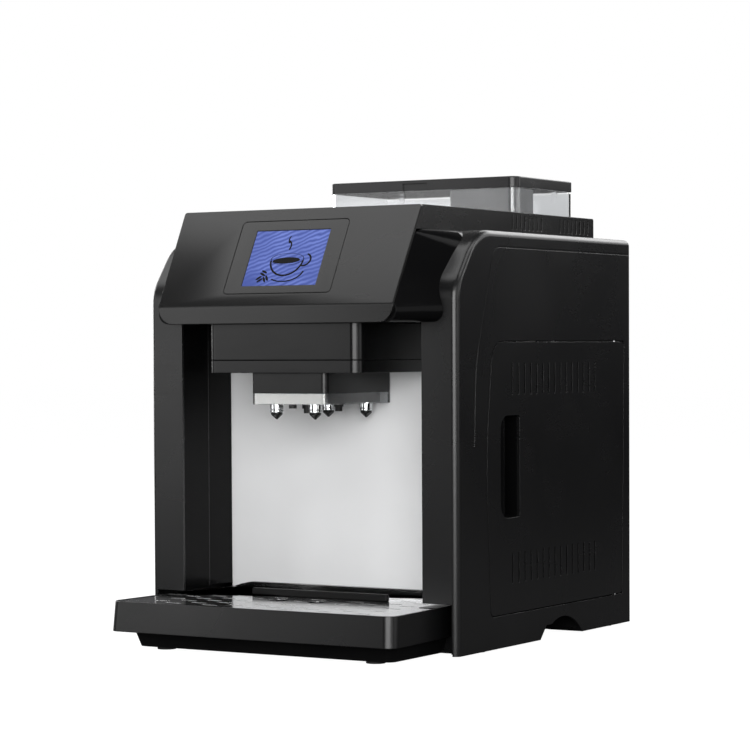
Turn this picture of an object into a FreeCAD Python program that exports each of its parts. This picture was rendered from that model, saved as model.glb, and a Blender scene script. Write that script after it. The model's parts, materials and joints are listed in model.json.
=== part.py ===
import FreeCAD, Part
import math
import os

# Countertop hot coffee machine: one STEP file for each sub-part, in millimetres.
# While a piece is built, Y is measured from the front plane of the columns, towards the rear, and Z from the
# surface the machine stands on. save() then moves it so that the origin is at the bottom centre of the machine.

os.makedirs("parts", exist_ok=True)

V = FreeCAD.Vector

# Overall sizes
WIDTH = 310.0
DEPTH = 409.0
HEIGHT = 410.4
TRAY_REACH = 83.0          # drip tray ahead of the columns
HALF = WIDTH / 2
BODY_DEPTH = DEPTH - TRAY_REACH
FRONT_SHIFT = TRAY_REACH - DEPTH / 2

# Housing
WALL = 2.5
FOOT_GAP = 2.4             # side panels above the ground
DECK_Z = 355.0             # top of the side shells
SWEEP_DROP = 46.4          # slanted stretch where the column front sweeps back to the deck
SWEEP_BACK = 35.2
EDGE_ROUND = 5.5
PANEL_BACK = 3.0           # rear panel set in from the rear edge
FLOOR_Z = 40.0             # inner floor that carries the works
FLOOR_THICK = 4.0

# Cup bay
BAY_HALF = 121.2           # between the columns
COLUMN_DEEP = 42.0
BAY_WIDER = 10.2           # step outwards behind each column
BAY_DEPTH = 90.0
COLUMN_FOOT_Z = 45.2
BAY_TOP_Z = 278.0

# Head
PANEL_TOP_Y = 4.4
PANEL_TOP_Z = 375.6
CREASE_Y = -39.4
CREASE_Z = 293.6
PANEL_TOP_HALF = 119.4
CREASE_HALF = 117.3
LIP_RADIUS = 14.0
FASCIA_THICK = 3.0
FLARE_HALF = 146.0         # head inside the swept column fronts
FLARE_LEAN = 0.5           # how far its rear section leans back for each unit of height
FLARE_DEEP = 60.0
BEZEL_SIZE = (107.4, 70.4)
BEZEL_DROP = 11.8          # below the top edge, along the slant
SCREEN_SIZE = (74.0, 53.4)
SCREEN_DROP = 21.2
SEAM = 0.4

# Spouts
HOUSING_HALF = 76.1
HOUSING_FRONT = -25.6
HOUSING_Z = 236.2
HOUSING_BAND = 10.9
SPOUT_HALF = 37.9
SPOUT_FRONT = -16.1
SPOUT_BACK = 87.7
SPOUT_Z = 218.8
SKIRT_Z = 209.2
NOZZLE_X = 19.5
NOZZLE_ROWS = (-4.0, 78.0)
NOZZLE_TIP_Z = 196.5
SLEEVE_R = 5.7

# Drip tray
TRAY_HALF = 141.2
TRAY_FOOT_HALF = 142.5
TRAY_WAIST = 137.5         # half width under the column fronts
TRAY_REAR_HALF = 129.5
TRAY_TOP_Z = 42.2
TRAY_FOOT_Z = 16.4
TRAY_LEAN = 2.3
TRAY_REAR = 88.0
TRAY_WALL = 2.2
GRID_THICK = 1.2
GRID_HALF = 119.4          # part of the grid that lies between the columns
LIP_Z = 47.1
LIP_HALF = 107.0
RAIL_HALF = 69.0

# Top cover and bean hopper
COVER_HALF = 119.0
COVER_REAR = 320.7
HOPPER_HALF = 99.3
HOPPER_FRONT = 206.5
HOPPER_REAR = 313.0
HOPPER_WALL = 2.0
LID_Z = 400.6
LID_PROUD = 0.5
NOTCH_X = -6.0
NOTCH_WIDE = 26.0

# Side door
DOOR_GAP = 1.0
DOOR_TOP_Z = 261.4
DOOR_FOOT_Z = 30.7
HINGE_X = HALF - 4.0
HINGE_Y = 298.0
HINGE_PIN_R = 1.55
RUNNING_GAP = 0.05
VENT_COUNT = 15
VENT_PITCH = 11.1
VENT_WIDE = 2.2

# Works behind the bay
GRIND_X = -10.0
GRIND_Y = 258.0
GRINDER_R = 38.0
GRINDER_Z = 262.0
GRINDER_TOP_Z = 326.0
BREW_X = 88.0
BREW_Y = 190.0
CHAMBER_R = 22.0
SCREW_Y = 245.0
SCREW_R = 4.0
BOILER_X = -62.0
BOILER_R = 28.0
BOILER_Y = 138.5
HOSE_R = 3.0
FAN_X = -60.0
FAN_Z = 296.0


def to_space(plane, level, point):
    """Put a flat point on a plane at the given level."""
    if plane == "XY":
        return V(point.x, point.y, level)
    if plane == "YZ":
        return V(level, point.x, point.y)
    return V(point.x, level, point.y)


def outline(plane, level, points, radii=0.0):
    """Closed wire through the points, with each corner rounded by its own radius."""
    count = len(points)
    if not isinstance(radii, (list, tuple)):
        radii = [radii] * count
    flat = [V(a, b, 0) for a, b in points]
    corners = []
    for index, here in enumerate(flat):
        radius = radii[index]
        if radius <= 0:
            corners.append((here, None, here))
            continue
        before = (flat[index - 1] - here).normalize()
        after = (flat[(index + 1) % count] - here).normalize()
        half_angle = before.getAngle(after) / 2
        reach = radius / math.tan(half_angle)
        middle = (before + after).normalize() * (radius / math.sin(half_angle) - radius)
        corners.append((here + before * reach, here + middle, here + after * reach))
    edges = []
    for index, (start, middle, end) in enumerate(corners):
        if middle is not None:
            arc_points = [to_space(plane, level, p) for p in (start, middle, end)]
            edges.append(Part.Arc(*arc_points).toShape())
        following = corners[(index + 1) % count][0]
        if (following - end).Length > 1e-6:
            line_ends = [to_space(plane, level, p) for p in (end, following)]
            edges.append(Part.LineSegment(*line_ends).toShape())
    return Part.Wire(edges)


def prism(plane, low, high, points, radii=0.0, offset=0.0):
    """Solid between two levels of a plane; a positive offset grows the outline."""
    wire = outline(plane, low, points, radii)
    if offset:
        wire = wire.makeOffset2D(offset)
    normal = {"XY": V(0, 0, 1), "YZ": V(1, 0, 0), "XZ": V(0, 1, 0)}[plane]
    return Part.Face(wire).extrude(normal * (high - low))


def block(x0, x1, y0, y1, z0, z1):
    """Box between two corners."""
    return Part.makeBox(x1 - x0, y1 - y0, z1 - z0, V(x0, y0, z0))


def rounded(x0, x1, y0, y1, z0, z1, radius):
    """Box with upright edges rounded."""
    return prism("XY", z0, z1, [(x0, y0), (x1, y0), (x1, y1), (x0, y1)], radius)


def rod(radius, start, end):
    """Cylinder between two points."""
    a, b = V(*start), V(*end)
    return Part.makeCylinder(radius, (b - a).Length, a, b - a)


def ring(outer, inner, start, end):
    """Tube with an open bore between two points."""
    return rod(outer, start, end).cut(rod(inner, start, end))


def cone(r0, r1, start, end):
    """Cone between two points."""
    a, b = V(*start), V(*end)
    return Part.makeCone(r0, r1, (b - a).Length, a, b - a)


def fuse(*shapes):
    """Join shapes into one solid."""
    return shapes[0].multiFuse(list(shapes[1:])).removeSplitter()


def cut(shape, *tools):
    """Take every tool away from the shape."""
    return shape.cut(list(tools))


def mirrored(shape):
    """Same shape on the other side of the machine."""
    return shape.mirror(V(0, 0, 0), V(1, 0, 0))


def hose(points, radius, bend):
    """Solid tube along straight runs joined by tangent arcs."""
    route = [V(*p) for p in points]
    edges = []
    last = route[0]
    for before, here, after in zip(route, route[1:], route[2:]):
        back = (before - here).normalize()
        ahead = (after - here).normalize()
        half_angle = back.getAngle(ahead) / 2
        reach = bend / math.tan(half_angle)
        start = here + back * reach
        end = here + ahead * reach
        middle = here + (back + ahead).normalize() * (bend / math.sin(half_angle) - bend)
        if (start - last).Length > 1e-6:
            edges.append(Part.LineSegment(last, start).toShape())
        edges.append(Part.Arc(start, middle, end).toShape())
        last = end
    edges.append(Part.LineSegment(last, route[-1]).toShape())
    path = Part.Wire(edges)
    section = Part.Wire(Part.makeCircle(radius, route[0], route[1] - route[0]))
    return path.makePipeShell([section], True, False)


def on_panel(shape):
    """Move a piece modelled flat, with its front up and the panel's top edge on the X axis, to the slant."""
    slant = math.degrees(math.atan2(PANEL_TOP_Z - CREASE_Z, PANEL_TOP_Y - CREASE_Y))
    placed = shape.copy()
    placed.rotate(V(0, 0, 0), V(1, 0, 0), slant)
    placed.translate(V(0, PANEL_TOP_Y, PANEL_TOP_Z))
    return placed


def save(node, *solids):
    """Write one node, moved to the machine's own origin."""
    shape = solids[0] if len(solids) == 1 else Part.makeCompound(list(solids))
    moved = shape.copy()
    moved.translate(V(0, FRONT_SHIFT, 0))
    moved.exportStep("parts/" + node + ".step")


# ---------------------------------------------------------------- side shells and door

def side_profile(x0, x1, offset=0.0):
    """The machine's side outline as a solid slab."""
    points = [
        (0, FOOT_GAP),
        (0, DECK_Z - SWEEP_DROP),
        (SWEEP_BACK, DECK_Z),
        (BODY_DEPTH, DECK_Z),
        (BODY_DEPTH, FOOT_GAP),
    ]
    return prism("YZ", x0, x1, points, [0, 37, 50, 6, 0], offset)


def door_profile(x0, x1, offset=0.0, hinge_round=5.0):
    """The side door's bowed outline as a slab; its hole has sharper corners at the hinge, so that it swings."""
    points = [
        (61, DOOR_TOP_Z),
        (48.5, 165),
        (56.5, DOOR_FOOT_Z),
        (HINGE_Y + 7, DOOR_FOOT_Z),
        (HINGE_Y + 12, DOOR_TOP_Z),
    ]
    return prism("YZ", x0, x1, points, [18, 500, 5, hinge_round, hinge_round], offset)


def panel_line():
    """Shallow groove that frames the upper part of each side."""
    points = [
        (62.5, DECK_Z - 12.8),
        (31, 245),
        (27, 150),
        (BODY_DEPTH + 20, 150),
        (BODY_DEPTH + 20, DECK_Z - 12.8),
    ]
    radii = [16, 160, 0, 0, 0]
    deep = 0.6
    wide = 1.4
    outer = prism("YZ", HALF - deep, HALF + 1, points, radii)
    inner = prism("YZ", HALF - deep, HALF + 1, points, radii, -wide)
    below = block(HALF - 2, HALF + 2, 0, BODY_DEPTH + 30, 140, 175)
    return cut(outer, inner, below)


def hand_hold():
    """Cut-out under the side panel: a slope, a ledge and a flat arch."""
    slope = [(145, FOOT_GAP - 1), (145, FOOT_GAP), (156.5, 14.4), (166, 14.4), (168, FOOT_GAP - 1)]
    arch = rod(48, (100, 188, -28.4), (160, 188, -28.4))
    return prism("YZ", 100, 160, slope).fuse(arch)


def vents(z0, z1):
    """Row of upright slots through the door."""
    slots = []
    for index in range(VENT_COUNT):
        y = 95 + VENT_PITCH * index
        slots.append(block(HALF - 4, HALF + 1, y - VENT_WIDE / 2, y + VENT_WIDE / 2, z0, z1))
    return slots


def side_shell():
    """Right side shell: column front, side wall, deck and rear edge in one moulding."""
    outer = side_profile(BAY_HALF, HALF)
    rim = []
    for edge in outer.Edges:
        box = edge.BoundBox
        if box.XMin > HALF - 0.01 and box.ZMax > FOOT_GAP + 1:
            rim.append(edge)
    outer = outer.makeFillet(EDGE_ROUND, rim)
    hollow = side_profile(BAY_HALF - 1, HALF - WALL, -WALL)
    pocket = block(BAY_HALF - 1, HALF - EDGE_ROUND, -1, 20, FOOT_GAP - 1, COLUMN_FOOT_Z)
    return cut(outer, hollow, pocket, hand_hold(), panel_line())


def hinge_boss(z0, z1):
    """Boss on the shell that holds a door pin."""
    boss = rod(3.2, (HINGE_X, HINGE_Y, z0), (HINGE_X, HINGE_Y, z1))
    return boss.cut(rod(HINGE_PIN_R, (HINGE_X, HINGE_Y, z0 - 1), (HINGE_X, HINGE_Y, z1 + 1)))


right = side_shell()
save("left_side_shell", mirrored(right))
door_hole = door_profile(HALF - WALL - 1, HALF + 1, DOOR_GAP, hinge_round=0.5)
pin_spans = [(DOOR_FOOT_Z - 11, DOOR_FOOT_Z - 2), (DOOR_TOP_Z + 2, DOOR_TOP_Z + 11)]
knuckle_spans = [(DOOR_FOOT_Z + 6, DOOR_FOOT_Z + 24), (DOOR_TOP_Z - 24, DOOR_TOP_Z - 6)]
right = right.cut(door_hole)
for low, high in pin_spans:
    right = right.cut(rod(HINGE_PIN_R, (HINGE_X, HINGE_Y, low), (HINGE_X, HINGE_Y, high)))
right = fuse(right, *[hinge_boss(low, high) for low, high in pin_spans])
keeper = block(HALF - WALL - 6, HALF - WALL + 0.5, 41, 47, 142, 164)
save("right_side_shell", fuse(right, keeper))

recess = [(74, 112), (108, 112), (108, 199), (74, 199)]
recess_round = [12, 2, 2, 12]
door = door_profile(HALF - WALL, HALF)
liner = door_profile(HALF - WALL - 4, HALF - WALL, -6).cut(door_profile(HALF - WALL - 5, HALF, -8.2))
liner = liner.cut(block(HALF - 12, HALF, HINGE_Y - 6, HINGE_Y + 12, DOOR_FOOT_Z, DOOR_TOP_Z))
liner = liner.cut(block(HALF - 12, HALF, 45, 72, 138, 168))
knuckles = [rod(3.2, (HINGE_X, HINGE_Y, a), (HINGE_X, HINGE_Y, b)) for a, b in knuckle_spans]
latch = fuse(
    block(HALF - WALL - 7, HALF - WALL, 54, 64, 144, 162),
    block(HALF - WALL - 5, HALF - WALL - 2.5, 48.5, 54, 147, 159),
)
door = fuse(door, liner, latch, *knuckles)
door = cut(door, *vents(216.7, 243.5), *vents(55.8, 82.0), prism("YZ", HALF - 4, HALF + 1, recess, recess_round))
pin_bore = HINGE_PIN_R + RUNNING_GAP
door = door.cut(rod(pin_bore, (HINGE_X, HINGE_Y, 0), (HINGE_X, HINGE_Y, DECK_Z)))
save("side_door", door)

cup_outer = prism("YZ", HALF - 18.5, HALF - WALL, recess, recess_round, 1.8)
cup_plan = [(HALF + 1, 74), (HALF, 74), (HALF - 3.6, 88), (HALF - 17, 90), (HALF - 17, 108), (HALF + 1, 108)]
cup_inner = prism("XY", 112, 199, cup_plan).common(prism("YZ", HALF - 20, HALF + 1, recess, recess_round))
cup_waste = block(HALF - 30, HALF - 5.4, 60, 86, 100, 210)
save("door_handle_cup", cut(cup_outer, cup_inner, cup_waste))

pins = []
for (low, high), (near, far) in zip(pin_spans, knuckle_spans):
    pins.append(rod(HINGE_PIN_R, (HINGE_X, HINGE_Y, min(low, near)), (HINGE_X, HINGE_Y, max(high, far))))
save("door_hinge_pins", *pins)

# ---------------------------------------------------------------- cup bay

step_x = BAY_HALF + BAY_WIDER
wall_plan = [
    (BAY_HALF, WALL), (BAY_HALF + WALL, WALL), (BAY_HALF + WALL, COLUMN_DEEP - WALL),
    (step_x + WALL, COLUMN_DEEP - WALL), (step_x + WALL, BAY_DEPTH + WALL), (step_x, BAY_DEPTH + WALL),
    (step_x, COLUMN_DEEP), (BAY_HALF, COLUMN_DEEP),
]
bay_wall = prism("XY", COLUMN_FOOT_Z, BAY_TOP_Z, wall_plan, [0, 0, 0, 0, 0, 0, 0, 3])
foot_plan = [
    (BAY_HALF, WALL), (HALF - WALL, WALL), (HALF - WALL, COLUMN_DEEP - WALL), (HALF - 10, COLUMN_DEEP - WALL),
    (HALF - 10, BAY_DEPTH + WALL), (step_x, BAY_DEPTH + WALL), (step_x, COLUMN_DEEP), (BAY_HALF, COLUMN_DEEP),
]
bay_wall = fuse(bay_wall, prism("XY", COLUMN_FOOT_Z, COLUMN_FOOT_Z + 2, foot_plan))
save("right_bay_wall", bay_wall)
save("left_bay_wall", mirrored(bay_wall))
splash = block(-step_x, step_x, BAY_DEPTH, BAY_DEPTH + 2, 30, BAY_TOP_Z)
splash = splash.cut(rod(HOSE_R + 3, (14, BAY_DEPTH - 1, 258), (14, BAY_DEPTH + 5, 258)))
save("splash_plate", splash)

# ---------------------------------------------------------------- chassis and feet

front_foot = Part.makeLoft([
    outline("XY", FOOT_GAP, [(-127, -60), (127, -60), (127, 40), (-127, 40)], 8),
    outline("XY", TRAY_FOOT_Z, [(-131, -64), (131, -64), (131, 40), (-131, 40)], 8),
], True, True)
inner_half = HALF - WALL
chassis = fuse(
    front_foot,
    block(-inner_half, inner_half, 24, 145, FOOT_GAP, TRAY_FOOT_Z),
    block(-inner_half, inner_half, BAY_DEPTH + 2, 145, TRAY_FOOT_Z - 1, FLOOR_Z),
    block(-inner_half, inner_half, 140, 230, FLOOR_Z - FLOOR_THICK, FLOOR_Z),
    block(-inner_half, inner_half, 226, BODY_DEPTH - WALL, FOOT_GAP, FLOOR_Z),
)
for x0, x1 in ((-120, -5), (5, 120)):
    chassis = chassis.cut(block(x0, x1, BAY_DEPTH + 6, 141, FOOT_GAP - 1, FLOOR_Z - FLOOR_THICK))
    chassis = chassis.cut(block(x0, x1, 232, BODY_DEPTH - 8, FOOT_GAP - 1, FLOOR_Z - FLOOR_THICK))
    chassis = chassis.cut(block(x0, x1, -40, 84, FOOT_GAP - 1, TRAY_FOOT_Z - 3))
guide = fuse(
    block(140.6, inner_half, 14, COLUMN_DEEP - WALL, FOOT_GAP, COLUMN_FOOT_Z),
    block(140.6, HALF - 10, 14, BAY_DEPTH + 2, FOOT_GAP, COLUMN_FOOT_Z),
)
door_room = fuse(
    block(HALF - 10, HALF, 44, HINGE_Y + 14, TRAY_FOOT_Z, FLOOR_Z + 1),
    block(HALF - 15, HALF, HINGE_Y - 6, HINGE_Y + 14, TRAY_FOOT_Z, FLOOR_Z + 1),
)
chassis = fuse(chassis, guide, mirrored(guide))
save("base_chassis", cut(chassis, door_room, side_shell(), mirrored(side_shell())))
feet = []
for x, y in ((105, -48), (138, 60), (138, 300)):
    for side in (-1, 1):
        feet.append(rod(8, (side * x, y, 0), (side * x, y, FOOT_GAP)))
save("rubber_feet", *feet)

# ---------------------------------------------------------------- drip tray


def tray_outline(level, foot=False):
    """Plan of the drip tray; the foot of the front wall stands a little further out."""
    front = -TRAY_REACH if foot else -TRAY_REACH + TRAY_LEAN
    half = TRAY_FOOT_HALF if foot else TRAY_HALF
    points = [
        (0, front), (half, front + 1.2), (TRAY_WAIST, 0), (TRAY_REAR_HALF, TRAY_REAR),
        (-TRAY_REAR_HALF, TRAY_REAR), (-TRAY_WAIST, 0), (-half, front + 1.2),
    ]
    return outline("XY", level, points, [500, 10, 90, 4, 4, 90, 10])


tray = Part.makeLoft([tray_outline(TRAY_FOOT_Z, True), tray_outline(TRAY_TOP_Z)], True, True)
grid_low = TRAY_TOP_Z - GRID_THICK - 0.5
well = Part.Face(tray_outline(TRAY_FOOT_Z + 2.4).makeOffset2D(-2 * TRAY_WALL)).extrude(V(0, 0, 30))
seat = Part.Face(tray_outline(grid_low).makeOffset2D(-TRAY_WALL)).extrude(V(0, 0, 10))
shelf = block(GRID_HALF + 0.4, TRAY_FOOT_HALF, -3, TRAY_REAR + 1, TRAY_FOOT_Z + 2.4, TRAY_TOP_Z)
shelf = shelf.common(tray)
tray = fuse(cut(tray, well, seat), shelf, mirrored(shelf))
rear_rim = prism("XZ", TRAY_REAR - 1.6, TRAY_REAR, [
    (-TRAY_REAR_HALF + 4, TRAY_TOP_Z - 2), (TRAY_REAR_HALF - 4, TRAY_TOP_Z - 2), (TRAY_REAR_HALF - 4, TRAY_TOP_Z + 0.7),
    (LIP_HALF, LIP_Z), (-LIP_HALF, LIP_Z), (-TRAY_REAR_HALF + 4, TRAY_TOP_Z + 0.7),
])
fence = block(88, 108, 56, 76, TRAY_FOOT_Z + 2, 34).cut(block(90, 106, 58, 74, TRAY_FOOT_Z, 40))
save("drip_tray", fuse(tray, rear_rim, fence))
save("tray_float", rounded(90.4, 105.6, 58.4, 73.6, TRAY_FOOT_Z + 2.4, TRAY_FOOT_Z + 14, 2))

grid_fit = TRAY_WALL + 0.4
plate = Part.Face(tray_outline(grid_low).makeOffset2D(-grid_fit)).extrude(V(0, 0, GRID_THICK))
for side in (-1, 1):
    x0, x1 = sorted((side * GRID_HALF, side * HALF))
    plate = plate.cut(block(x0, x1, -3.4, TRAY_REAR + 1, 0, HEIGHT))
plate = plate.cut(block(-HALF, HALF, TRAY_REAR - 2.4, TRAY_REAR + 5, 0, HEIGHT))
slots = []
row_pitch = 11.5
slot_pitch = 38.0
for row in range(13):
    y = -66 + row_pitch * row
    shift = slot_pitch / 2 if row % 2 else 0.0
    for column in range(-4, 5):
        x = column * slot_pitch + shift - slot_pitch / 4
        over_rail = 24 < y < 40 and abs(x) < RAIL_HALF + 10
        in_reach = abs(x) < (GRID_HALF if y > -14 else TRAY_HALF - 10) - 12
        near_hole = -16 < y < 8 and abs(abs(x) - NOZZLE_X) < 22
        if in_reach and not over_rail and not near_hole:
            slots.append(rounded(x - 7.5, x + 7.5, y - 1.4, y + 1.4, grid_low - 1, grid_low + 3, 1.35))
for side in (-1, 1):
    slots.append(rod(8.5, (side * NOZZLE_X, -4, grid_low - 1), (side * NOZZLE_X, -4, grid_low + 3)))
slots.append(rounded(-4.5, 4.5, -6, -2, grid_low - 1, grid_low + 3, 1.9))
plate = plate.cut(slots)
upturn = prism("XZ", TRAY_REAR - 3.6, TRAY_REAR - 2.4, [
    (-GRID_HALF, grid_low), (GRID_HALF, grid_low), (GRID_HALF, TRAY_TOP_Z + 2.4), (LIP_HALF, LIP_Z),
    (-LIP_HALF, LIP_Z), (-GRID_HALF, TRAY_TOP_Z + 2.4),
])
save("drip_grid", fuse(plate, upturn))
rail_z = grid_low + GRID_THICK
save("cup_rail", rounded(-RAIL_HALF, RAIL_HALF, 29, 34, rail_z, rail_z + 6, 1.2))

# ---------------------------------------------------------------- head


def head_body(inset):
    """Flared body that widens from the fascia's side edges to the swept column fronts."""
    per_slant = math.hypot(PANEL_TOP_Z - CREASE_Z, PANEL_TOP_Y - CREASE_Y) / (PANEL_TOP_Z - CREASE_Z)
    behind = FASCIA_THICK * (PANEL_TOP_Y - CREASE_Y) / (PANEL_TOP_Z - CREASE_Z)
    top = behind - (PANEL_TOP_Z - DECK_Z) * per_slant - inset
    foot = behind - (PANEL_TOP_Z - BAY_TOP_Z) * per_slant + inset
    half = CREASE_HALF - inset
    near = [(-half, foot), (half, foot), (half + 1.6, top), (-half - 1.6, top)]
    near_radii = [LIP_RADIUS - inset, LIP_RADIUS - inset, 4.5 - inset, 4.5 - inset]
    near_wire = on_panel(outline("XY", -FASCIA_THICK, near, near_radii))
    half = FLARE_HALF - inset
    foot = BAY_TOP_Z + inset
    top = DECK_Z - inset
    far = [(-half, foot), (half, foot), (half, top), (-half, top)]
    far_radii = [LIP_RADIUS - inset, LIP_RADIUS - inset, 20 - inset, 20 - inset]
    far_wire = outline("XZ", 0.0, far, far_radii)
    lean = FreeCAD.Matrix()
    lean.A23 = FLARE_LEAN
    lean.A24 = -FLARE_LEAN * BAY_TOP_Z
    far_wire = far_wire.transformGeometry(lean)
    flare = Part.makeLoft([near_wire, far_wire], True, True)
    back = Part.Face(far_wire).extrude(V(0, FLARE_DEEP, 0))
    return flare, back


flare, back = head_body(0.0)
flare_void, back_void = head_body(FASCIA_THICK)
columns = [side_profile(BAY_HALF, HALF), mirrored(side_profile(BAY_HALF, HALF))]
deck_plate = block(-BAY_HALF, BAY_HALF, 0, BAY_DEPTH, BAY_TOP_Z, BAY_TOP_Z + FASCIA_THICK)
sides = [block(BAY_HALF - WALL, BAY_HALF, 0, BAY_DEPTH, BAY_TOP_Z, DECK_Z - WALL)]
sides.append(mirrored(sides[0]))
head = fuse(cut(flare, flare_void), back.cut(back_void))
column_fronts = [block(BAY_HALF, HALF, 0, FLARE_DEEP + 1, 0, HEIGHT).cut(columns[0])]
column_fronts.append(mirrored(column_fronts[0]))
between = block(-BAY_HALF, BAY_HALF, -100, FLARE_DEEP, 0, HEIGHT)
ahead = block(-HALF, HALF, -100, 0, 0, HEIGHT)
allowed = fuse(between, ahead, *column_fronts)
head = fuse(head.common(allowed), deck_plate, *sides)
fascia_back = [
    (CREASE_Y + FASCIA_THICK, 0), (CREASE_Y + FASCIA_THICK, CREASE_Z - 0.8),
    (PANEL_TOP_Y + FASCIA_THICK + 0.4, PANEL_TOP_Z), (-200, PANEL_TOP_Z), (-200, 0),
]
head_window = block(-COVER_HALF, COVER_HALF, CREASE_Y - 20, FLARE_DEEP + 40, DECK_Z - FASCIA_THICK - 1, HEIGHT)
open_front = prism("YZ", -HALF, HALF, fascia_back)
save("head_cover", cut(head, open_front, head_window))

fascia_side = [
    (PANEL_TOP_Y, PANEL_TOP_Z), (CREASE_Y, CREASE_Z), (CREASE_Y, BAY_TOP_Z),
    (CREASE_Y + FASCIA_THICK, BAY_TOP_Z), (CREASE_Y + FASCIA_THICK, CREASE_Z - 0.8),
    (PANEL_TOP_Y + FASCIA_THICK + 0.4, PANEL_TOP_Z),
]
fascia_front = [
    (-PANEL_TOP_HALF, PANEL_TOP_Z), (PANEL_TOP_HALF, PANEL_TOP_Z), (CREASE_HALF, CREASE_Z),
    (CREASE_HALF - 0.3, BAY_TOP_Z), (-CREASE_HALF + 0.3, BAY_TOP_Z), (-CREASE_HALF, CREASE_Z),
]
fascia = prism("YZ", -HALF, HALF, fascia_side)
fascia = fascia.common(prism("XZ", -100, 50, fascia_front, [2, 2, 60, LIP_RADIUS, LIP_RADIUS, 60]))
bezel_x, bezel_y = BEZEL_SIZE
bezel_mid = -BEZEL_DROP - bezel_y / 2
pocket_x = bezel_x / 2 + SEAM
pocket_y = bezel_y / 2 + SEAM
bezel_pocket = rounded(-pocket_x, pocket_x, bezel_mid - pocket_y, bezel_mid + pocket_y, -1.6, 5, 4.4)
screen_x, screen_y = SCREEN_SIZE
screen_mid = -SCREEN_DROP - screen_y / 2
fascia_window = rounded(
    -screen_x / 2 - 4, screen_x / 2 + 4, screen_mid - screen_y / 2 - 4, screen_mid + screen_y / 2 + 4, -8, 5, 0.3)
save("control_fascia", cut(fascia, on_panel(bezel_pocket), on_panel(fascia_window)))
bezel = rounded(-bezel_x / 2, bezel_x / 2, bezel_mid - bezel_y / 2, bezel_mid + bezel_y / 2, -1.6, 0, 4)
bezel_window = block(
    -screen_x / 2, screen_x / 2, screen_mid - screen_y / 2, screen_mid + screen_y / 2, -3, 3)
save("touch_bezel", on_panel(bezel.cut(bezel_window)))
screen_back = block(
    -screen_x / 2 - 3.6, screen_x / 2 + 3.6, screen_mid - screen_y / 2 - 3.6, screen_mid + screen_y / 2 + 3.6,
    -6.0, -1.6)
screen_face = block(
    -screen_x / 2 + 0.1, screen_x / 2 - 0.1, screen_mid - screen_y / 2 + 0.1, screen_mid + screen_y / 2 - 0.1,
    -1.6, -0.4)
save("display", on_panel(fuse(screen_back, screen_face)))
board_z = -11.0
board = rounded(-50, 50, bezel_mid - 33, bezel_mid + 33, board_z - 1.6, board_z, 2)
chips = [block(x, x + 12, bezel_mid - 6, bezel_mid + 6, board_z - 3.4, board_z - 1.6) for x in (-30, -6, 18)]
posts = []
for x in (-46, 46):
    for y in (bezel_mid - 29, bezel_mid + 29):
        posts.append(rod(2.5, (x, y, board_z), (x, y, -FASCIA_THICK)))
save("control_board", on_panel(fuse(board, *chips, *posts)))

# ---------------------------------------------------------------- spouts


def front_round(half, front, rear, z0, z1, radius, offset=0.0):
    """Slab with rounded front corners, open to the rear."""
    points = [(-half, front), (half, front), (half, rear), (-half, rear)]
    return prism("XY", z0, z1, points, [radius, radius, 0, 0], offset)


band_z = HOUSING_Z + HOUSING_BAND
housing = front_round(HOUSING_HALF, HOUSING_FRONT, BAY_DEPTH, band_z, BAY_TOP_Z, 8.5)
housing_void = front_round(HOUSING_HALF - WALL, HOUSING_FRONT + WALL, BAY_DEPTH + 1, band_z - 1, BAY_TOP_Z + 1, 6)
save("spout_housing", housing.cut(housing_void))
band = front_round(HOUSING_HALF, HOUSING_FRONT, BAY_DEPTH, HOUSING_Z, band_z, 8.5)
band_void = front_round(HOUSING_HALF - WALL, HOUSING_FRONT + WALL, BAY_DEPTH + 1, HOUSING_Z + WALL, band_z + 1, 6)
seam_void = front_round(HOUSING_HALF, HOUSING_FRONT, BAY_DEPTH, band_z - 0.5, band_z, 8.5)
seam_core = front_round(HOUSING_HALF - 0.6, HOUSING_FRONT + 0.6, BAY_DEPTH, band_z - 0.5, band_z, 7.9)
port = rod(HOSE_R + 0.1, (0, 60, HOUSING_Z - 1), (0, 60, HOUSING_Z + WALL + 1))
save("housing_band", cut(band, band_void, seam_void.cut(seam_core), port))

spout = front_round(SPOUT_HALF, SPOUT_FRONT, SPOUT_BACK, SPOUT_Z, HOUSING_Z, 4.5)
spout = spout.cut(rod(HOSE_R + 0.1, (0, 60, SPOUT_Z - 1), (0, 60, HOUSING_Z + 1)))
save("spout_block", spout)
skirt = front_round(SPOUT_HALF, SPOUT_FRONT, SPOUT_BACK, SKIRT_Z, SPOUT_Z, 4.5)
skirt_void = front_round(SPOUT_HALF - 2.2, SPOUT_FRONT + 2.2, SPOUT_BACK - 2.2, SKIRT_Z - 1, SPOUT_Z + 1, 2.3)
save("spout_skirt", skirt.cut(skirt_void))
manifold = rounded(-30, 30, -12, 84, SKIRT_Z + 0.8, SPOUT_Z, 3)
save("spout_manifold", manifold)
manifold_z = SKIRT_Z + 0.8
sleeves = []
tips = []
for y in NOZZLE_ROWS:
    for x in (-NOZZLE_X, NOZZLE_X):
        sleeve = ring(SLEEVE_R, SLEEVE_R - 1.2, (x, y, NOZZLE_TIP_Z + 6), (x, y, manifold_z))
        sleeves.append(sleeve)
        stem = rod(SLEEVE_R - 1.2, (x, y, NOZZLE_TIP_Z + 6), (x, y, manifold_z))
        collar = rod(SLEEVE_R - 0.6, (x, y, NOZZLE_TIP_Z + 4), (x, y, NOZZLE_TIP_Z + 6))
        point = cone(1.0, SLEEVE_R - 1.0, (x, y, NOZZLE_TIP_Z), (x, y, NOZZLE_TIP_Z + 4))
        tips.append(fuse(stem, collar, point))
save("nozzle_sleeves", *sleeves)
save("nozzle_tips", *tips)
stub_specs = [(-9.0, 3.3, 0.0, 4.0), (14.0, 4.6, 3.2, 4.6), (64.0, 4.2, 3.2, 4.0)]
stubs = []
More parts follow.
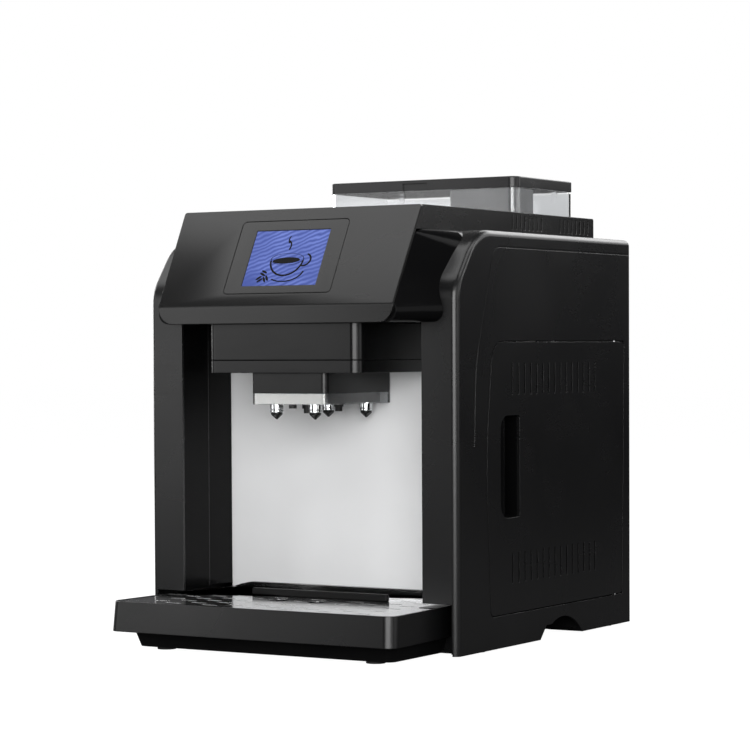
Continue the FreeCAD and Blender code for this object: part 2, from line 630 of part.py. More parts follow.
for y, top_r, low_r, drop in stub_specs:
    stub = rod(top_r, (0, y, manifold_z - drop), (0, y, manifold_z))
    if low_r:
        stub = fuse(stub, rod(low_r, (0, y, manifold_z - drop - 4), (0, y, manifold_z - drop)))
    stubs.append(stub)
save("water_spouts", *stubs)

# ---------------------------------------------------------------- top cover and hopper

cover_side = [
    (PANEL_TOP_Y + FASCIA_THICK + 0.4, PANEL_TOP_Z), (COVER_REAR, PANEL_TOP_Z), (COVER_REAR, DECK_Z),
    (PANEL_TOP_Y + FASCIA_THICK + 0.4 - (PANEL_TOP_Z - DECK_Z) * (PANEL_TOP_Y - CREASE_Y) / (PANEL_TOP_Z - CREASE_Z),
     DECK_Z),
]
cover = prism("YZ", -COVER_HALF, COVER_HALF, cover_side, [0, 2, 0, 0])
cover = cover.cut(prism("YZ", -COVER_HALF + WALL, COVER_HALF - WALL, cover_side, 0.0, -WALL))
cover = cover.cut(block(-COVER_HALF + WALL, COVER_HALF - WALL, -30, COVER_REAR - WALL, DECK_Z - 1, PANEL_TOP_Z - WALL))
flange = block(-BAY_HALF, BAY_HALF, FLARE_DEEP, COVER_REAR, DECK_Z - WALL, DECK_Z)
flange = flange.cut(block(-COVER_HALF + 6, COVER_HALF - 6, FLARE_DEEP + 6, COVER_REAR - 6, 0, HEIGHT))
cover = fuse(cover, flange)
opening = block(
    -HOPPER_HALF + 6, HOPPER_HALF - 6, HOPPER_FRONT + 5, HOPPER_REAR - 4, DECK_Z, PANEL_TOP_Z + 1)
cover_slots = []
for first in (163.0, 254.3):
    for index in range(8):
        y = first + 7.8 * index
        cover_slots.append(block(-HALF, HALF, y - 1.0, y + 1.0, 360.4, 372.8))
save("top_cover", cut(cover, opening, *cover_slots))

hopper = front_round(HOPPER_HALF, HOPPER_FRONT, HOPPER_REAR, PANEL_TOP_Z, LID_Z, 8)
floor_z = PANEL_TOP_Z + 2.0
hopper = hopper.cut(front_round(
    HOPPER_HALF - HOPPER_WALL, HOPPER_FRONT + HOPPER_WALL, HOPPER_REAR - HOPPER_WALL, floor_z, LID_Z + 1, 6))


def funnel(grow, top_z, foot_z):
    """Bean funnel under the hopper floor, narrowing to the grinder throat."""
    throat = 13.0 + grow
    top = [(-90 - grow, 214 - grow), (22 + grow, 214 - grow), (22 + grow, 306 + grow), (-90 - grow, 306 + grow)]
    foot = [
        (GRIND_X - throat, GRIND_Y - throat), (GRIND_X + throat, GRIND_Y - throat),
        (GRIND_X + throat, GRIND_Y + throat), (GRIND_X - throat, GRIND_Y + throat),
    ]
    return Part.makeLoft([outline("XY", top_z, top, 4), outline("XY", foot_z, foot, 4)], True, True)


gate_z = GRINDER_TOP_Z + 0.3
gate_thick = 2.4
funnel_foot = gate_z + gate_thick + 0.5
hopper = fuse(hopper, funnel(2.0, PANEL_TOP_Z + 0.5, funnel_foot))
hopper = hopper.cut(funnel(0.0, floor_z + 0.2, funnel_foot - 0.01))
lid_axis_y = HOPPER_REAR - 1.6
lid_axis_z = LID_Z + 2.0
hopper = hopper.cut(block(-HALF, HALF, HOPPER_REAR - 4, HOPPER_REAR + 1, LID_Z - 1.6, HEIGHT))
ear_spans = [(-84, -80), (80, 84)]
ears = []
for x0, x1 in ear_spans:
    ear = fuse(
        block(x0, x1, HOPPER_REAR - HOPPER_WALL - 1.4, HOPPER_REAR, LID_Z - 8, lid_axis_z),
        rod(1.6 + 0.4, (x0, lid_axis_y, lid_axis_z), (x1, lid_axis_y, lid_axis_z)),
    )
    ears.append(ear)
hopper = fuse(hopper, *ears)
lid_pin_r = 1.2
for x0, x1 in ear_spans:
    hopper = hopper.cut(rod(lid_pin_r + RUNNING_GAP, (x0 - 1, lid_axis_y, lid_axis_z), (x1 + 1, lid_axis_y, lid_axis_z)))
save("bean_hopper", hopper)

powder_x0 = 28.0
powder_x1 = HOPPER_HALF - HOPPER_WALL - 1.0
powder_y0 = HOPPER_FRONT + HOPPER_WALL + 0.3
powder_y1 = 246.0
powder = rounded(powder_x0, powder_x1, powder_y0, powder_y1, floor_z, LID_Z - 1, 5)
powder = powder.cut(rounded(powder_x0 + 1.6, powder_x1 - 1.6, powder_y0 + 1.6, powder_y1 - 1.6, floor_z + 1.6, LID_Z, 3.4))
save("powder_chamber", powder)

lid_half = HOPPER_HALF + LID_PROUD
lid = front_round(lid_half, HOPPER_FRONT - LID_PROUD, HOPPER_REAR + LID_PROUD, LID_Z, HEIGHT, 8.5)
top_edges = [e for e in lid.Edges if e.BoundBox.ZMin > HEIGHT - 0.01]
lid = lid.makeFillet(1.2, top_edges)
lid = lid.cut(front_round(
    lid_half - HOPPER_WALL, HOPPER_FRONT - LID_PROUD + HOPPER_WALL, HOPPER_REAR + LID_PROUD - HOPPER_WALL,
    LID_Z - 1, HEIGHT - 2.4, 6.5))
lid = lid.cut(block(
    NOTCH_X - NOTCH_WIDE / 2, NOTCH_X + NOTCH_WIDE / 2, HOPPER_FRONT - 2, HOPPER_FRONT + 1.2, LID_Z - 1, HEIGHT - 3.2))
bosses = []
for x0, x1 in ear_spans:
    lid = lid.cut(block(x0 - 0.5, x1 + 0.5, HOPPER_REAR - 6, HOPPER_REAR + 2, LID_Z - 1, lid_axis_z + 2.6))
    for start, end in ((x0 - 4, x0 - 0.5), (x1 + 0.5, x1 + 4)):
        boss = fuse(
            rod(2.0, (start, lid_axis_y, lid_axis_z), (end, lid_axis_y, lid_axis_z)),
            block(start, end, lid_axis_y - 2, lid_axis_y + 2, lid_axis_z, HEIGHT - 1),
        )
        bosses.append(boss)
lid = fuse(lid, *bosses)
lid_pins = []
for x0, x1 in ear_spans:
    pin = rod(lid_pin_r, (x0 - 4, lid_axis_y, lid_axis_z), (x1 + 4, lid_axis_y, lid_axis_z))
    lid_pins.append(pin)
save("hopper_lid", fuse(lid, *lid_pins))

gate = block(GRIND_X - 19.5, GRIND_X + 19.5, 230, 306, gate_z, gate_z + gate_thick)
gate = gate.cut(rod(14, (GRIND_X, GRIND_Y, gate_z - 1), (GRIND_X, GRIND_Y, gate_z + 4)))
save("bean_gate", gate)

# ---------------------------------------------------------------- grinder

centre = (GRIND_X, GRIND_Y)


def upright(radius, z0, z1, at=centre):
    """Upright cylinder on the grinder axis, or at another place."""
    return rod(radius, (at[0], at[1], z0), (at[0], at[1], z1))


shell = upright(GRINDER_R, GRINDER_Z, GRINDER_TOP_Z)
shell = cut(shell, upright(33, GRINDER_Z + 6, GRINDER_TOP_Z - 6), upright(13, GRINDER_TOP_Z - 7, GRINDER_TOP_Z + 1))
shell = cut(shell, upright(6, GRINDER_Z - 1, GRINDER_Z + 7))
rails = []
for x in (GRIND_X - 22.5, GRIND_X + 19.9):
    rails.append(block(x, x + 2.6, 236, 284, GRINDER_TOP_Z, gate_z + gate_thick))
outlet = block(GRIND_X + 20, GRIND_X + 46, GRIND_Y - 22, GRIND_Y - 8, GRINDER_Z + 6, GRINDER_Z + 22)
outlet_void = block(GRIND_X + 18, GRIND_X + 47, GRIND_Y - 20, GRIND_Y - 10, GRINDER_Z + 8, GRINDER_Z + 20)
grinder = fuse(shell, *rails, outlet.cut(upright(33, GRINDER_Z, GRINDER_TOP_Z)))
save("grinder_housing", grinder.cut(outlet_void))
burr_z = 300.0
upper_burr = upright(30, burr_z, GRINDER_TOP_Z - 6).cut(upright(13, burr_z - 1, GRINDER_TOP_Z))
upper_burr = upper_burr.cut(cone(24, 13, (GRIND_X, GRIND_Y, burr_z), (GRIND_X, GRIND_Y, burr_z + 8)))
save("upper_burr", upper_burr)
lower = fuse(upright(30, burr_z - 12, burr_z - 4), upright(12, burr_z - 4, burr_z + 4))
lower = fuse(lower, upright(22, burr_z - 4, burr_z - 1))
teeth = []
for index in range(12):
    tooth = block(12, 29, -0.8, 0.8, burr_z - 4, burr_z - 1.2)
    tooth.rotate(V(0, 0, 0), V(0, 0, 1), index * 30)
    tooth.translate(V(GRIND_X, GRIND_Y, 0))
    teeth.append(tooth)
save("lower_burr", fuse(lower, upright(5, GRINDER_Z - 8, burr_z - 12), *teeth))
stand_z = 190.0
motor = fuse(upright(28, stand_z, GRINDER_Z - 12), upright(31, GRINDER_Z - 12, GRINDER_Z))
motor = motor.cut(upright(5.06, GRINDER_Z - 8.5, GRINDER_Z + 1))
save("grinder_motor", motor)
stand = fuse(
    block(GRIND_X - 33, GRIND_X - 30, GRIND_Y - 30, GRIND_Y + 30, FLOOR_Z, stand_z),
    block(GRIND_X + 30, GRIND_X + 33, GRIND_Y - 30, GRIND_Y + 30, FLOOR_Z, stand_z),
    block(GRIND_X - 33, GRIND_X + 33, GRIND_Y - 30, GRIND_Y + 30, stand_z - 4, stand_z),
)
save("grinder_stand", stand)
mouth_x = BREW_X - CHAMBER_R - 3.5


def chute_solid(inset, x0, x1):
    """Sloping duct from the grinder outlet to the rim of the brew chamber."""
    y0, y1 = GRIND_Y - 22 + inset, GRIND_Y - 8 - inset
    z0, z1 = GRINDER_Z + 6 + inset, GRINDER_Z + 22 - inset
    upper = [(y0, z0), (y1, z0), (y1, z1), (y0, z1)]
    y0, y1 = BREW_Y - 8 + inset, BREW_Y + 8 - inset
    z0, z1 = 230 + inset, 246 - inset
    lower = [(y0, z0), (y1, z0), (y1, z1), (y0, z1)]
    return Part.makeLoft([outline("YZ", x0, upper), outline("YZ", x1, lower)], True, True)


chute = chute_solid(0, GRIND_X + 46, mouth_x).cut(chute_solid(2, GRIND_X + 45.9, mouth_x + 0.1))
save("grounds_chute", chute)

# ---------------------------------------------------------------- brew unit

frame_x0 = BREW_X - 46
frame_x1 = BREW_X + 50
motor_plate_z = 290.0
chamber_z = 175.0
brew_frame = fuse(
    block(frame_x0, frame_x1, 112, 115, FLOOR_Z, chamber_z),
    block(frame_x0, frame_x1, 296, 299, FLOOR_Z, motor_plate_z + 4),
    block(frame_x0, frame_x1, 115, 296, 106, 110),
    block(frame_x0, frame_x1, 112, 296, chamber_z - 4, chamber_z),
    block(frame_x0 + 12, frame_x1 - 16, SCREW_Y - 12, 296, motor_plate_z, motor_plate_z + 4),
)
screw_at = (BREW_X, SCREW_Y)
brew_at = (BREW_X, BREW_Y)
brew_frame = cut(
    brew_frame,
    upright(12, 105, 111, brew_at),
    upright(SCREW_R + RUNNING_GAP, 100, motor_plate_z + 5, screw_at),
    upright(9, chamber_z - 5, chamber_z + 1, brew_at),
)
guides_x = (BREW_X - 26, BREW_X + 26)
save("brew_frame", brew_frame)
guide_rods = [rod(3, (gx, SCREW_Y, chamber_z), (gx, SCREW_Y, motor_plate_z)) for gx in guides_x]
save("brew_guide_rods", *guide_rods)
chamber = upright(CHAMBER_R + 5, chamber_z, chamber_z + 50, brew_at).cut(
    upright(CHAMBER_R, chamber_z + 6, chamber_z + 51, brew_at))
port_z = chamber_z + 12
ports = [
    rod(5, (BREW_X, BREW_Y - CHAMBER_R - 11, port_z), (BREW_X, BREW_Y - CHAMBER_R - 3, port_z)),
    rod(5, (BREW_X - CHAMBER_R - 11, BREW_Y, port_z), (BREW_X - CHAMBER_R - 3, BREW_Y, port_z)),
]
save("brew_chamber", fuse(chamber, *ports))
piston_z = 236.0
arm_z = piston_z + 28
piston = fuse(
    upright(CHAMBER_R - 0.08, piston_z, piston_z + 14, brew_at),
    upright(8, piston_z + 14, arm_z, brew_at),
    block(BREW_X - 9, BREW_X + 9, BREW_Y - 8, SCREW_Y + 9, arm_z, arm_z + 8),
    block(BREW_X - 33, BREW_X + 33, SCREW_Y - 8, SCREW_Y + 9, arm_z, arm_z + 8),
    upright(9, arm_z - 8, arm_z + 14, screw_at),
)
piston = piston.cut(upright(SCREW_R + RUNNING_GAP, 0, HEIGHT, screw_at))
for gx in guides_x:
    piston = piston.cut(upright(3 + RUNNING_GAP, 0, HEIGHT, (gx, SCREW_Y)))
save("brew_piston", piston)
screw = fuse(upright(SCREW_R, 106, motor_plate_z + 4, screw_at), upright(8, 110.3, 114, screw_at))
screw = screw.cut(block(BREW_X - 1, BREW_X + 1, SCREW_Y - 5, SCREW_Y + 5, motor_plate_z + 2, motor_plate_z + 5))
save("brew_lead_screw", screw)
brew_motor = fuse(upright(18, motor_plate_z + 4.3, 334, screw_at), block(
    BREW_X - 22, BREW_X + 20, SCREW_Y - 10, SCREW_Y + 12, motor_plate_z + 4, motor_plate_z + 8))
save("brew_motor", brew_motor)
bin_walls = rounded(frame_x0 + 3, frame_x1 - 3, 118, 293, FLOOR_Z, 98, 6)
bin_void = rounded(frame_x0 + 5, frame_x1 - 5, 120, 291, FLOOR_Z + 2, 99, 4)
save("grounds_bin", bin_walls.cut(bin_void))

# ---------------------------------------------------------------- water and heat

tank = rounded(-148, -98, 110, 300, FLOOR_Z, 250, 6).cut(rounded(-146, -100, 112, 298, FLOOR_Z + 2, 251, 4))
outlet_y = 225.0
outlet_z = 62.0
tank = fuse(tank, ring(5, HOSE_R - 1, (-99, outlet_y, outlet_z), (-92, outlet_y, outlet_z)))
save("water_tank", tank.cut(rod(HOSE_R - 1, (-105, outlet_y, outlet_z), (-90, outlet_y, outlet_z))))
tank_cap = rounded(-149, -97, 109, 301, 250, 253, 7).cut(rod(5, (-123, 280, 249), (-123, 280, 254)))
save("tank_cap", tank_cap)
pump_z = FLOOR_Z + 6
pump = fuse(
    block(-79, -46, 204, 246, pump_z, pump_z + 38),
    rod(8, (BOILER_X, outlet_y, pump_z + 38), (BOILER_X, outlet_y, pump_z + 46)),
    rod(5, (-92, outlet_y, outlet_z), (-79, outlet_y, outlet_z)),
)
mounts = [rod(4, (x, y, FLOOR_Z), (x, y, pump_z)) for x in (-74, -51) for y in (209, 241)]
save("water_pump", fuse(pump, *mounts))
boiler_z0, boiler_z1 = 150.0, 250.0
boiler_at = (BOILER_X, BOILER_Y)
boiler = fuse(
    upright(BOILER_R, boiler_z0, boiler_z1, boiler_at),
    upright(5, boiler_z1, boiler_z1 + 6, boiler_at),
    rod(5, (BOILER_X, BOILER_Y + BOILER_R - 2, 200), (BOILER_X, BOILER_Y + BOILER_R + 6, 200)),
)
save("boiler", boiler)
sheet_y = BOILER_Y - BOILER_R - 2
bracket = fuse(
    block(BOILER_X - 30, BOILER_X + 30, sheet_y - 2, sheet_y, FLOOR_Z, boiler_z1 - 10),
    block(BOILER_X - 30, BOILER_X + 30, sheet_y - 2, BOILER_Y + BOILER_R, boiler_z0 - 3, boiler_z0),
)
save("boiler_bracket", bracket)
pump_hose = hose([
    (BOILER_X, outlet_y, pump_z + 46), (BOILER_X, outlet_y, 200), (BOILER_X, BOILER_Y + BOILER_R + 6, 200),
], HOSE_R, 24)
side_x = frame_x0 - 8
hot_hose = hose([
    (BOILER_X, BOILER_Y, boiler_z1 + 6), (BOILER_X, BOILER_Y, 292), (side_x, BOILER_Y, 292),
    (side_x, BOILER_Y, port_z), (side_x, BREW_Y, port_z), (BREW_X - CHAMBER_R - 11, BREW_Y, port_z),
], HOSE_R, 15)
coffee_hose = hose([
    (BREW_X, BREW_Y - CHAMBER_R - 11, port_z), (BREW_X, 122, port_z), (BREW_X, 122, 258),
    (14, 122, 258), (14, 76, 258), (0, 76, 258), (0, 60, 258), (0, 60, SPOUT_Z),
], HOSE_R, 6.8)
save("hoses", pump_hose, hot_hose, coffee_hose)
supply = rounded(GRIND_X - 27, GRIND_X + 27, GRIND_Y - 28, GRIND_Y + 28, FLOOR_Z, 120, 2)
fins = [block(GRIND_X - 22 + 8 * i, GRIND_X - 19 + 8 * i, GRIND_Y - 24, GRIND_Y + 24, 120, 128) for i in range(6)]
save("power_supply", fuse(supply, *fins))

# ---------------------------------------------------------------- rear

rear_y = BODY_DEPTH - PANEL_BACK
rear_low = FLOOR_Z
rear_panel = fuse(
    block(-HALF + WALL + 3, HALF - WALL - 3, rear_y - 2, rear_y - 0.2, rear_low, DECK_Z - WALL - 3),
    block(-BAY_HALF, BAY_HALF, rear_y - 2, rear_y - 0.2, DECK_Z - WALL - 4, DECK_Z),
)
rear_slots = []
for index in range(9):
    x = FAN_X - 24 + 6 * index
    rear_slots.append(block(x - 1.5, x + 1.5, rear_y - 4, rear_y + 1, FAN_Z - 24, FAN_Z + 24))
socket_x, socket_z = 104.0, 72.0
rear_slots.append(block(socket_x - 14, socket_x + 14, rear_y - 4, rear_y + 1, socket_z - 10, socket_z + 10))
switch_z = 104.0
rear_slots.append(block(socket_x - 7, socket_x + 7, rear_y - 4, rear_y + 1, switch_z - 10, switch_z + 10))
rear_slots.append(rod(7, (-106, rear_y - 4, 300), (-106, rear_y + 1, 300)))
rear_panel = rear_panel.cut(rear_slots)
save("rear_panel", rear_panel)
inlet = fuse(
    block(socket_x - 16, socket_x + 16, rear_y - 0.2, rear_y + 1.8, socket_z - 12, socket_z + 12),
    block(socket_x - 14, socket_x + 14, rear_y - 18, rear_y - 0.2, socket_z - 10, socket_z + 10),
)
inlet = inlet.cut(rounded(socket_x - 12, socket_x + 12, rear_y - 15, rear_y + 3, socket_z - 8, socket_z + 8, 1))
blades = [block(socket_x + dx - 2, socket_x + dx + 2, rear_y - 15, rear_y - 3, socket_z + dz - 1, socket_z + dz + 1)
          for dx, dz in ((-7, -2), (7, -2), (0, 3))]
switch_frame = block(socket_x - 16, socket_x + 16, rear_y - 0.2, rear_y + 1.8, socket_z + 12, switch_z + 12)
switch_frame = fuse(switch_frame, block(
    socket_x - 7, socket_x + 7, rear_y - 16, rear_y - 0.2, switch_z - 10, switch_z + 10))
switch_frame = switch_frame.cut(block(
    socket_x - 5.5, socket_x + 5.5, rear_y - 9, rear_y + 2, switch_z - 8.6, switch_z + 8.6))
rocker_y = rear_y - 4.0
switch_frame = switch_frame.cut(rod(1.05, (socket_x - 6.5, rocker_y, switch_z), (socket_x + 6.5, rocker_y, switch_z)))
save("power_inlet", fuse(inlet, switch_frame, *blades))
rocker_side = [
    (rocker_y - 2, switch_z - 7), (rocker_y - 2, switch_z + 7), (rear_y - 0.5, switch_z + 7.6),
    (rear_y - 1.6, switch_z), (rear_y + 1.0, switch_z - 7.6),
]
rocker = prism("YZ", socket_x - 5.2, socket_x + 5.2, rocker_side)
axle = rod(1.0, (socket_x - 6.4, rocker_y, switch_z), (socket_x + 6.4, rocker_y, switch_z))
save("rocker_switch", fuse(rocker, axle))
fitting = fuse(
    ring(7, 3, (-106, rear_y - 22, 300), (-106, rear_y + 2.4, 300)),
    ring(10, 3, (-106, rear_y - 5, 300), (-106, rear_y - 2, 300)),
)
save("water_inlet", fitting)
fan_front = rear_y - 18
fan_rear = rear_y - 2
fan = block(FAN_X - 30, FAN_X + 30, fan_front, fan_rear, FAN_Z - 30, FAN_Z + 30)
fan = fan.cut(rod(28, (FAN_X, fan_front + 3, FAN_Z), (FAN_X, fan_rear + 1, FAN_Z)))
fan = fan.cut(ring(27, 11, (FAN_X, fan_front - 1, FAN_Z), (FAN_X, fan_front + 4, FAN_Z)))
spokes = [
    block(FAN_X - 29, FAN_X + 29, fan_front, fan_front + 3, FAN_Z - 1.5, FAN_Z + 1.5),
    block(FAN_X - 1.5, FAN_X + 1.5, fan_front, fan_front + 3, FAN_Z - 29, FAN_Z + 29),
]
fan_pin = rod(2, (FAN_X, fan_front + 2, FAN_Z), (FAN_X, fan_front + 10, FAN_Z))
save("fan_frame", fuse(fan, *spokes, fan_pin))
rotor = rod(10, (FAN_X, fan_front + 3.5, FAN_Z), (FAN_X, fan_rear - 2, FAN_Z))
vanes = []
for index in range(7):
    vane = block(8, 26.5, -0.8, 0.8, -5, 5)
    vane.rotate(V(0, 0, 0), V(1, 0, 0), 38)
    vane.rotate(V(0, 0, 0), V(0, 0, 1), index * 360 / 7)
    vane.rotate(V(0, 0, 0), V(1, 0, 0), 90)
    vane.translate(V(FAN_X, fan_front + 9, FAN_Z))
    vanes.append(vane)
rotor = fuse(rotor, *vanes)
save("fan_rotor", rotor.cut(rod(2 + RUNNING_GAP, (FAN_X, fan_front, FAN_Z), (FAN_X, fan_front + 10.4, FAN_Z))))
screws = []
for x in (-112, 0, 112):
    for z in (FLOOR_Z + 8, DECK_Z - 14):
        head_disc = rod(3.2, (x, rear_y - 0.2, z), (x, rear_y + 1.4, z))
        head_disc = head_disc.cut(block(x - 2.2, x + 2.2, rear_y + 0.7, rear_y + 2, z - 0.4, z + 0.4))
        screws.append(head_disc)
save("rear_screws", *screws)
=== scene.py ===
"""Countertop hot coffee machine: finishes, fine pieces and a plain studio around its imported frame."""
import json
import logging
import math
from dataclasses import dataclass
from enum import Enum

import bmesh
import bpy
from mathutils import Matrix, Vector


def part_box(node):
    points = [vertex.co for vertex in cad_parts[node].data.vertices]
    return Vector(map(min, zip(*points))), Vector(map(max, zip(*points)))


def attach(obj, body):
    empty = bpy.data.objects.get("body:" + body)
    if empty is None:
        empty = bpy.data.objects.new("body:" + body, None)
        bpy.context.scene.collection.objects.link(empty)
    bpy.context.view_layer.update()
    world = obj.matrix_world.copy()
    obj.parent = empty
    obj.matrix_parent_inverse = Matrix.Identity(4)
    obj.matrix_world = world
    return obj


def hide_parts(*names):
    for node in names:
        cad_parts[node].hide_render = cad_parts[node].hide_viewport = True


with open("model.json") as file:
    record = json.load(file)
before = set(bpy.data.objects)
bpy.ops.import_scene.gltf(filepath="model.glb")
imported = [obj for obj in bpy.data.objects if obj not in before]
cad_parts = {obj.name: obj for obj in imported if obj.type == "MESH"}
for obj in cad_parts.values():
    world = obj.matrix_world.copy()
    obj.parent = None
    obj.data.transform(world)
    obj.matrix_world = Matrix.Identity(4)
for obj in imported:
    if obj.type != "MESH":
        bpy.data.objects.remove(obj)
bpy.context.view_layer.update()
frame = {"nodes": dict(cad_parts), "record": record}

logging.basicConfig(level=logging.INFO, format="%(message)s")
log = logging.getLogger("coffee_machine")

MM = 0.001
MERGE_DISTANCE = 1e-6
CAD_MERGE_DISTANCE = 2e-6
FLAT_TURN = 0.6
SHARP_TURN = 32.0
BEVEL_TURN = 30.0
FLOOR_HALF = 12.0
DUST_GREY = (0.42, 0.4, 0.37)
ROOT_BODY = "cabinet"
Colour = tuple[float, float, float]
Flat = tuple[float, float]


# ---------------------------------------------------------------- node trees


class Graph:
    """A shader tree while it is being wired."""

    def __init__(self, tree: bpy.types.NodeTree) -> None:
        """Start on an existing tree.

        Args:
            tree: the material's or the group's own tree.
        """
        self.tree = tree

    def add(self, kind: str, values: dict[str, object] | None = None, **settings: object) -> bpy.types.Node:
        """Add a node.

        Args:
            kind: the node's type name without its ShaderNode prefix.
            values: constants or source sockets, by the name of the input.
            settings: the node's own properties.

        Returns:
            The new node.
        """
        name = kind if kind.startswith("Node") else "ShaderNode" + kind
        node = self.tree.nodes.new(name)
        for key, value in settings.items():
            setattr(node, key, value)
        for key, value in (values or {}).items():
            socket = node.inputs[key]
            if isinstance(value, bpy.types.NodeSocket):
                self.tree.links.new(value, socket)
            else:
                socket.default_value = value
        return node

    def math(
        self, operation: str, first: object, second: object = 0.5, clamp: bool = False,
    ) -> bpy.types.NodeSocket:
        """Combine two numbers.

        Args:
            operation: the Math node's operation.
            first: a constant or a socket.
            second: a constant or a socket.
            clamp: whether the result stays within 0 and 1.

        Returns:
            The result's socket.
        """
        node = self.add("Math", operation=operation, use_clamp=clamp)
        for index, value in enumerate((first, second)):
            if isinstance(value, bpy.types.NodeSocket):
                self.tree.links.new(value, node.inputs[index])
            else:
                node.inputs[index].default_value = value
        return node.outputs[0]

    def ramp(self, source: bpy.types.NodeSocket, low: float, high: float) -> bpy.types.NodeSocket:
        """Stretch a value smoothly so that low becomes 0 and high becomes 1.

        Args:
            source: the value's socket.
            low: input that gives 0.
            high: input that gives 1.

        Returns:
            The stretched value's socket.
        """
        values = {"Value": source, "From Min": low, "From Max": high}
        return self.add("MapRange", values, interpolation_type="SMOOTHSTEP").outputs[0]

    def mix(self, mask: object, first: object, second: object, blend: str = "MIX") -> bpy.types.NodeSocket:
        """Blend two colours.

        Args:
            mask: share of the second colour, a constant or a socket.
            first: colour or socket.
            second: colour or socket.
            blend: the Mix node's blend type.

        Returns:
            The blended colour's socket.
        """
        node = self.add("Mix", data_type="RGBA", blend_type=blend)
        for index, value in ((0, mask), (6, first), (7, second)):
            if isinstance(value, bpy.types.NodeSocket):
                self.tree.links.new(value, node.inputs[index])
            elif index == 0:
                node.inputs[index].default_value = value
            else:
                node.inputs[index].default_value = (*value[:3], 1.0)
        return node.outputs[2]

    def place(self, scale: Colour = (1.0, 1.0, 1.0), turn: Colour = (0.0, 0.0, 0.0)) -> bpy.types.NodeSocket:
        """Object coordinates, stretched and turned.

        Args:
            scale: stretch along each axis.
            turn: rotation about each axis, in radians.

        Returns:
            The coordinate socket.
        """
        where = self.add("TexCoord").outputs["Object"]
        return self.add("Mapping", {"Vector": where, "Scale": scale, "Rotation": turn}).outputs[0]

    def noise(
        self, where: bpy.types.NodeSocket, scale: object, detail: float, **more: float,
    ) -> bpy.types.NodeSocket:
        """Cloudy noise between 0 and 1.

        Args:
            where: the coordinates.
            scale: how fine it is, a constant or a socket.
            detail: how many finer layers lie on top.
            more: the noise node's other inputs, by name.

        Returns:
            The noise's socket.
        """
        values = {"Vector": where, "Scale": scale, "Detail": detail}
        values.update({label.replace("_", " "): value for label, value in more.items()})
        return self.add("TexNoise", values).outputs["Fac"]


def new_group(name: str, inputs: dict[str, float], outputs: tuple[str, ...]) -> tuple[Graph, dict, dict]:
    """Start a shader node group that gives numbers.

    Args:
        name: the group's name.
        inputs: each input's name and first value.
        outputs: the outputs' names.

    Returns:
        The group's graph, its input sockets and its output sockets, by name.
    """
    tree = bpy.data.node_groups.new(name, "ShaderNodeTree")
    for label, value in inputs.items():
        socket = tree.interface.new_socket(label, in_out="INPUT", socket_type="NodeSocketFloat")
        socket.default_value = value
    for label in outputs:
        tree.interface.new_socket(label, in_out="OUTPUT", socket_type="NodeSocketFloat")
    graph = Graph(tree)
    sources = graph.add("NodeGroupInput")
    results = graph.add("NodeGroupOutput")
    return graph, {s.name: s for s in sources.outputs}, {s.name: s for s in results.inputs}


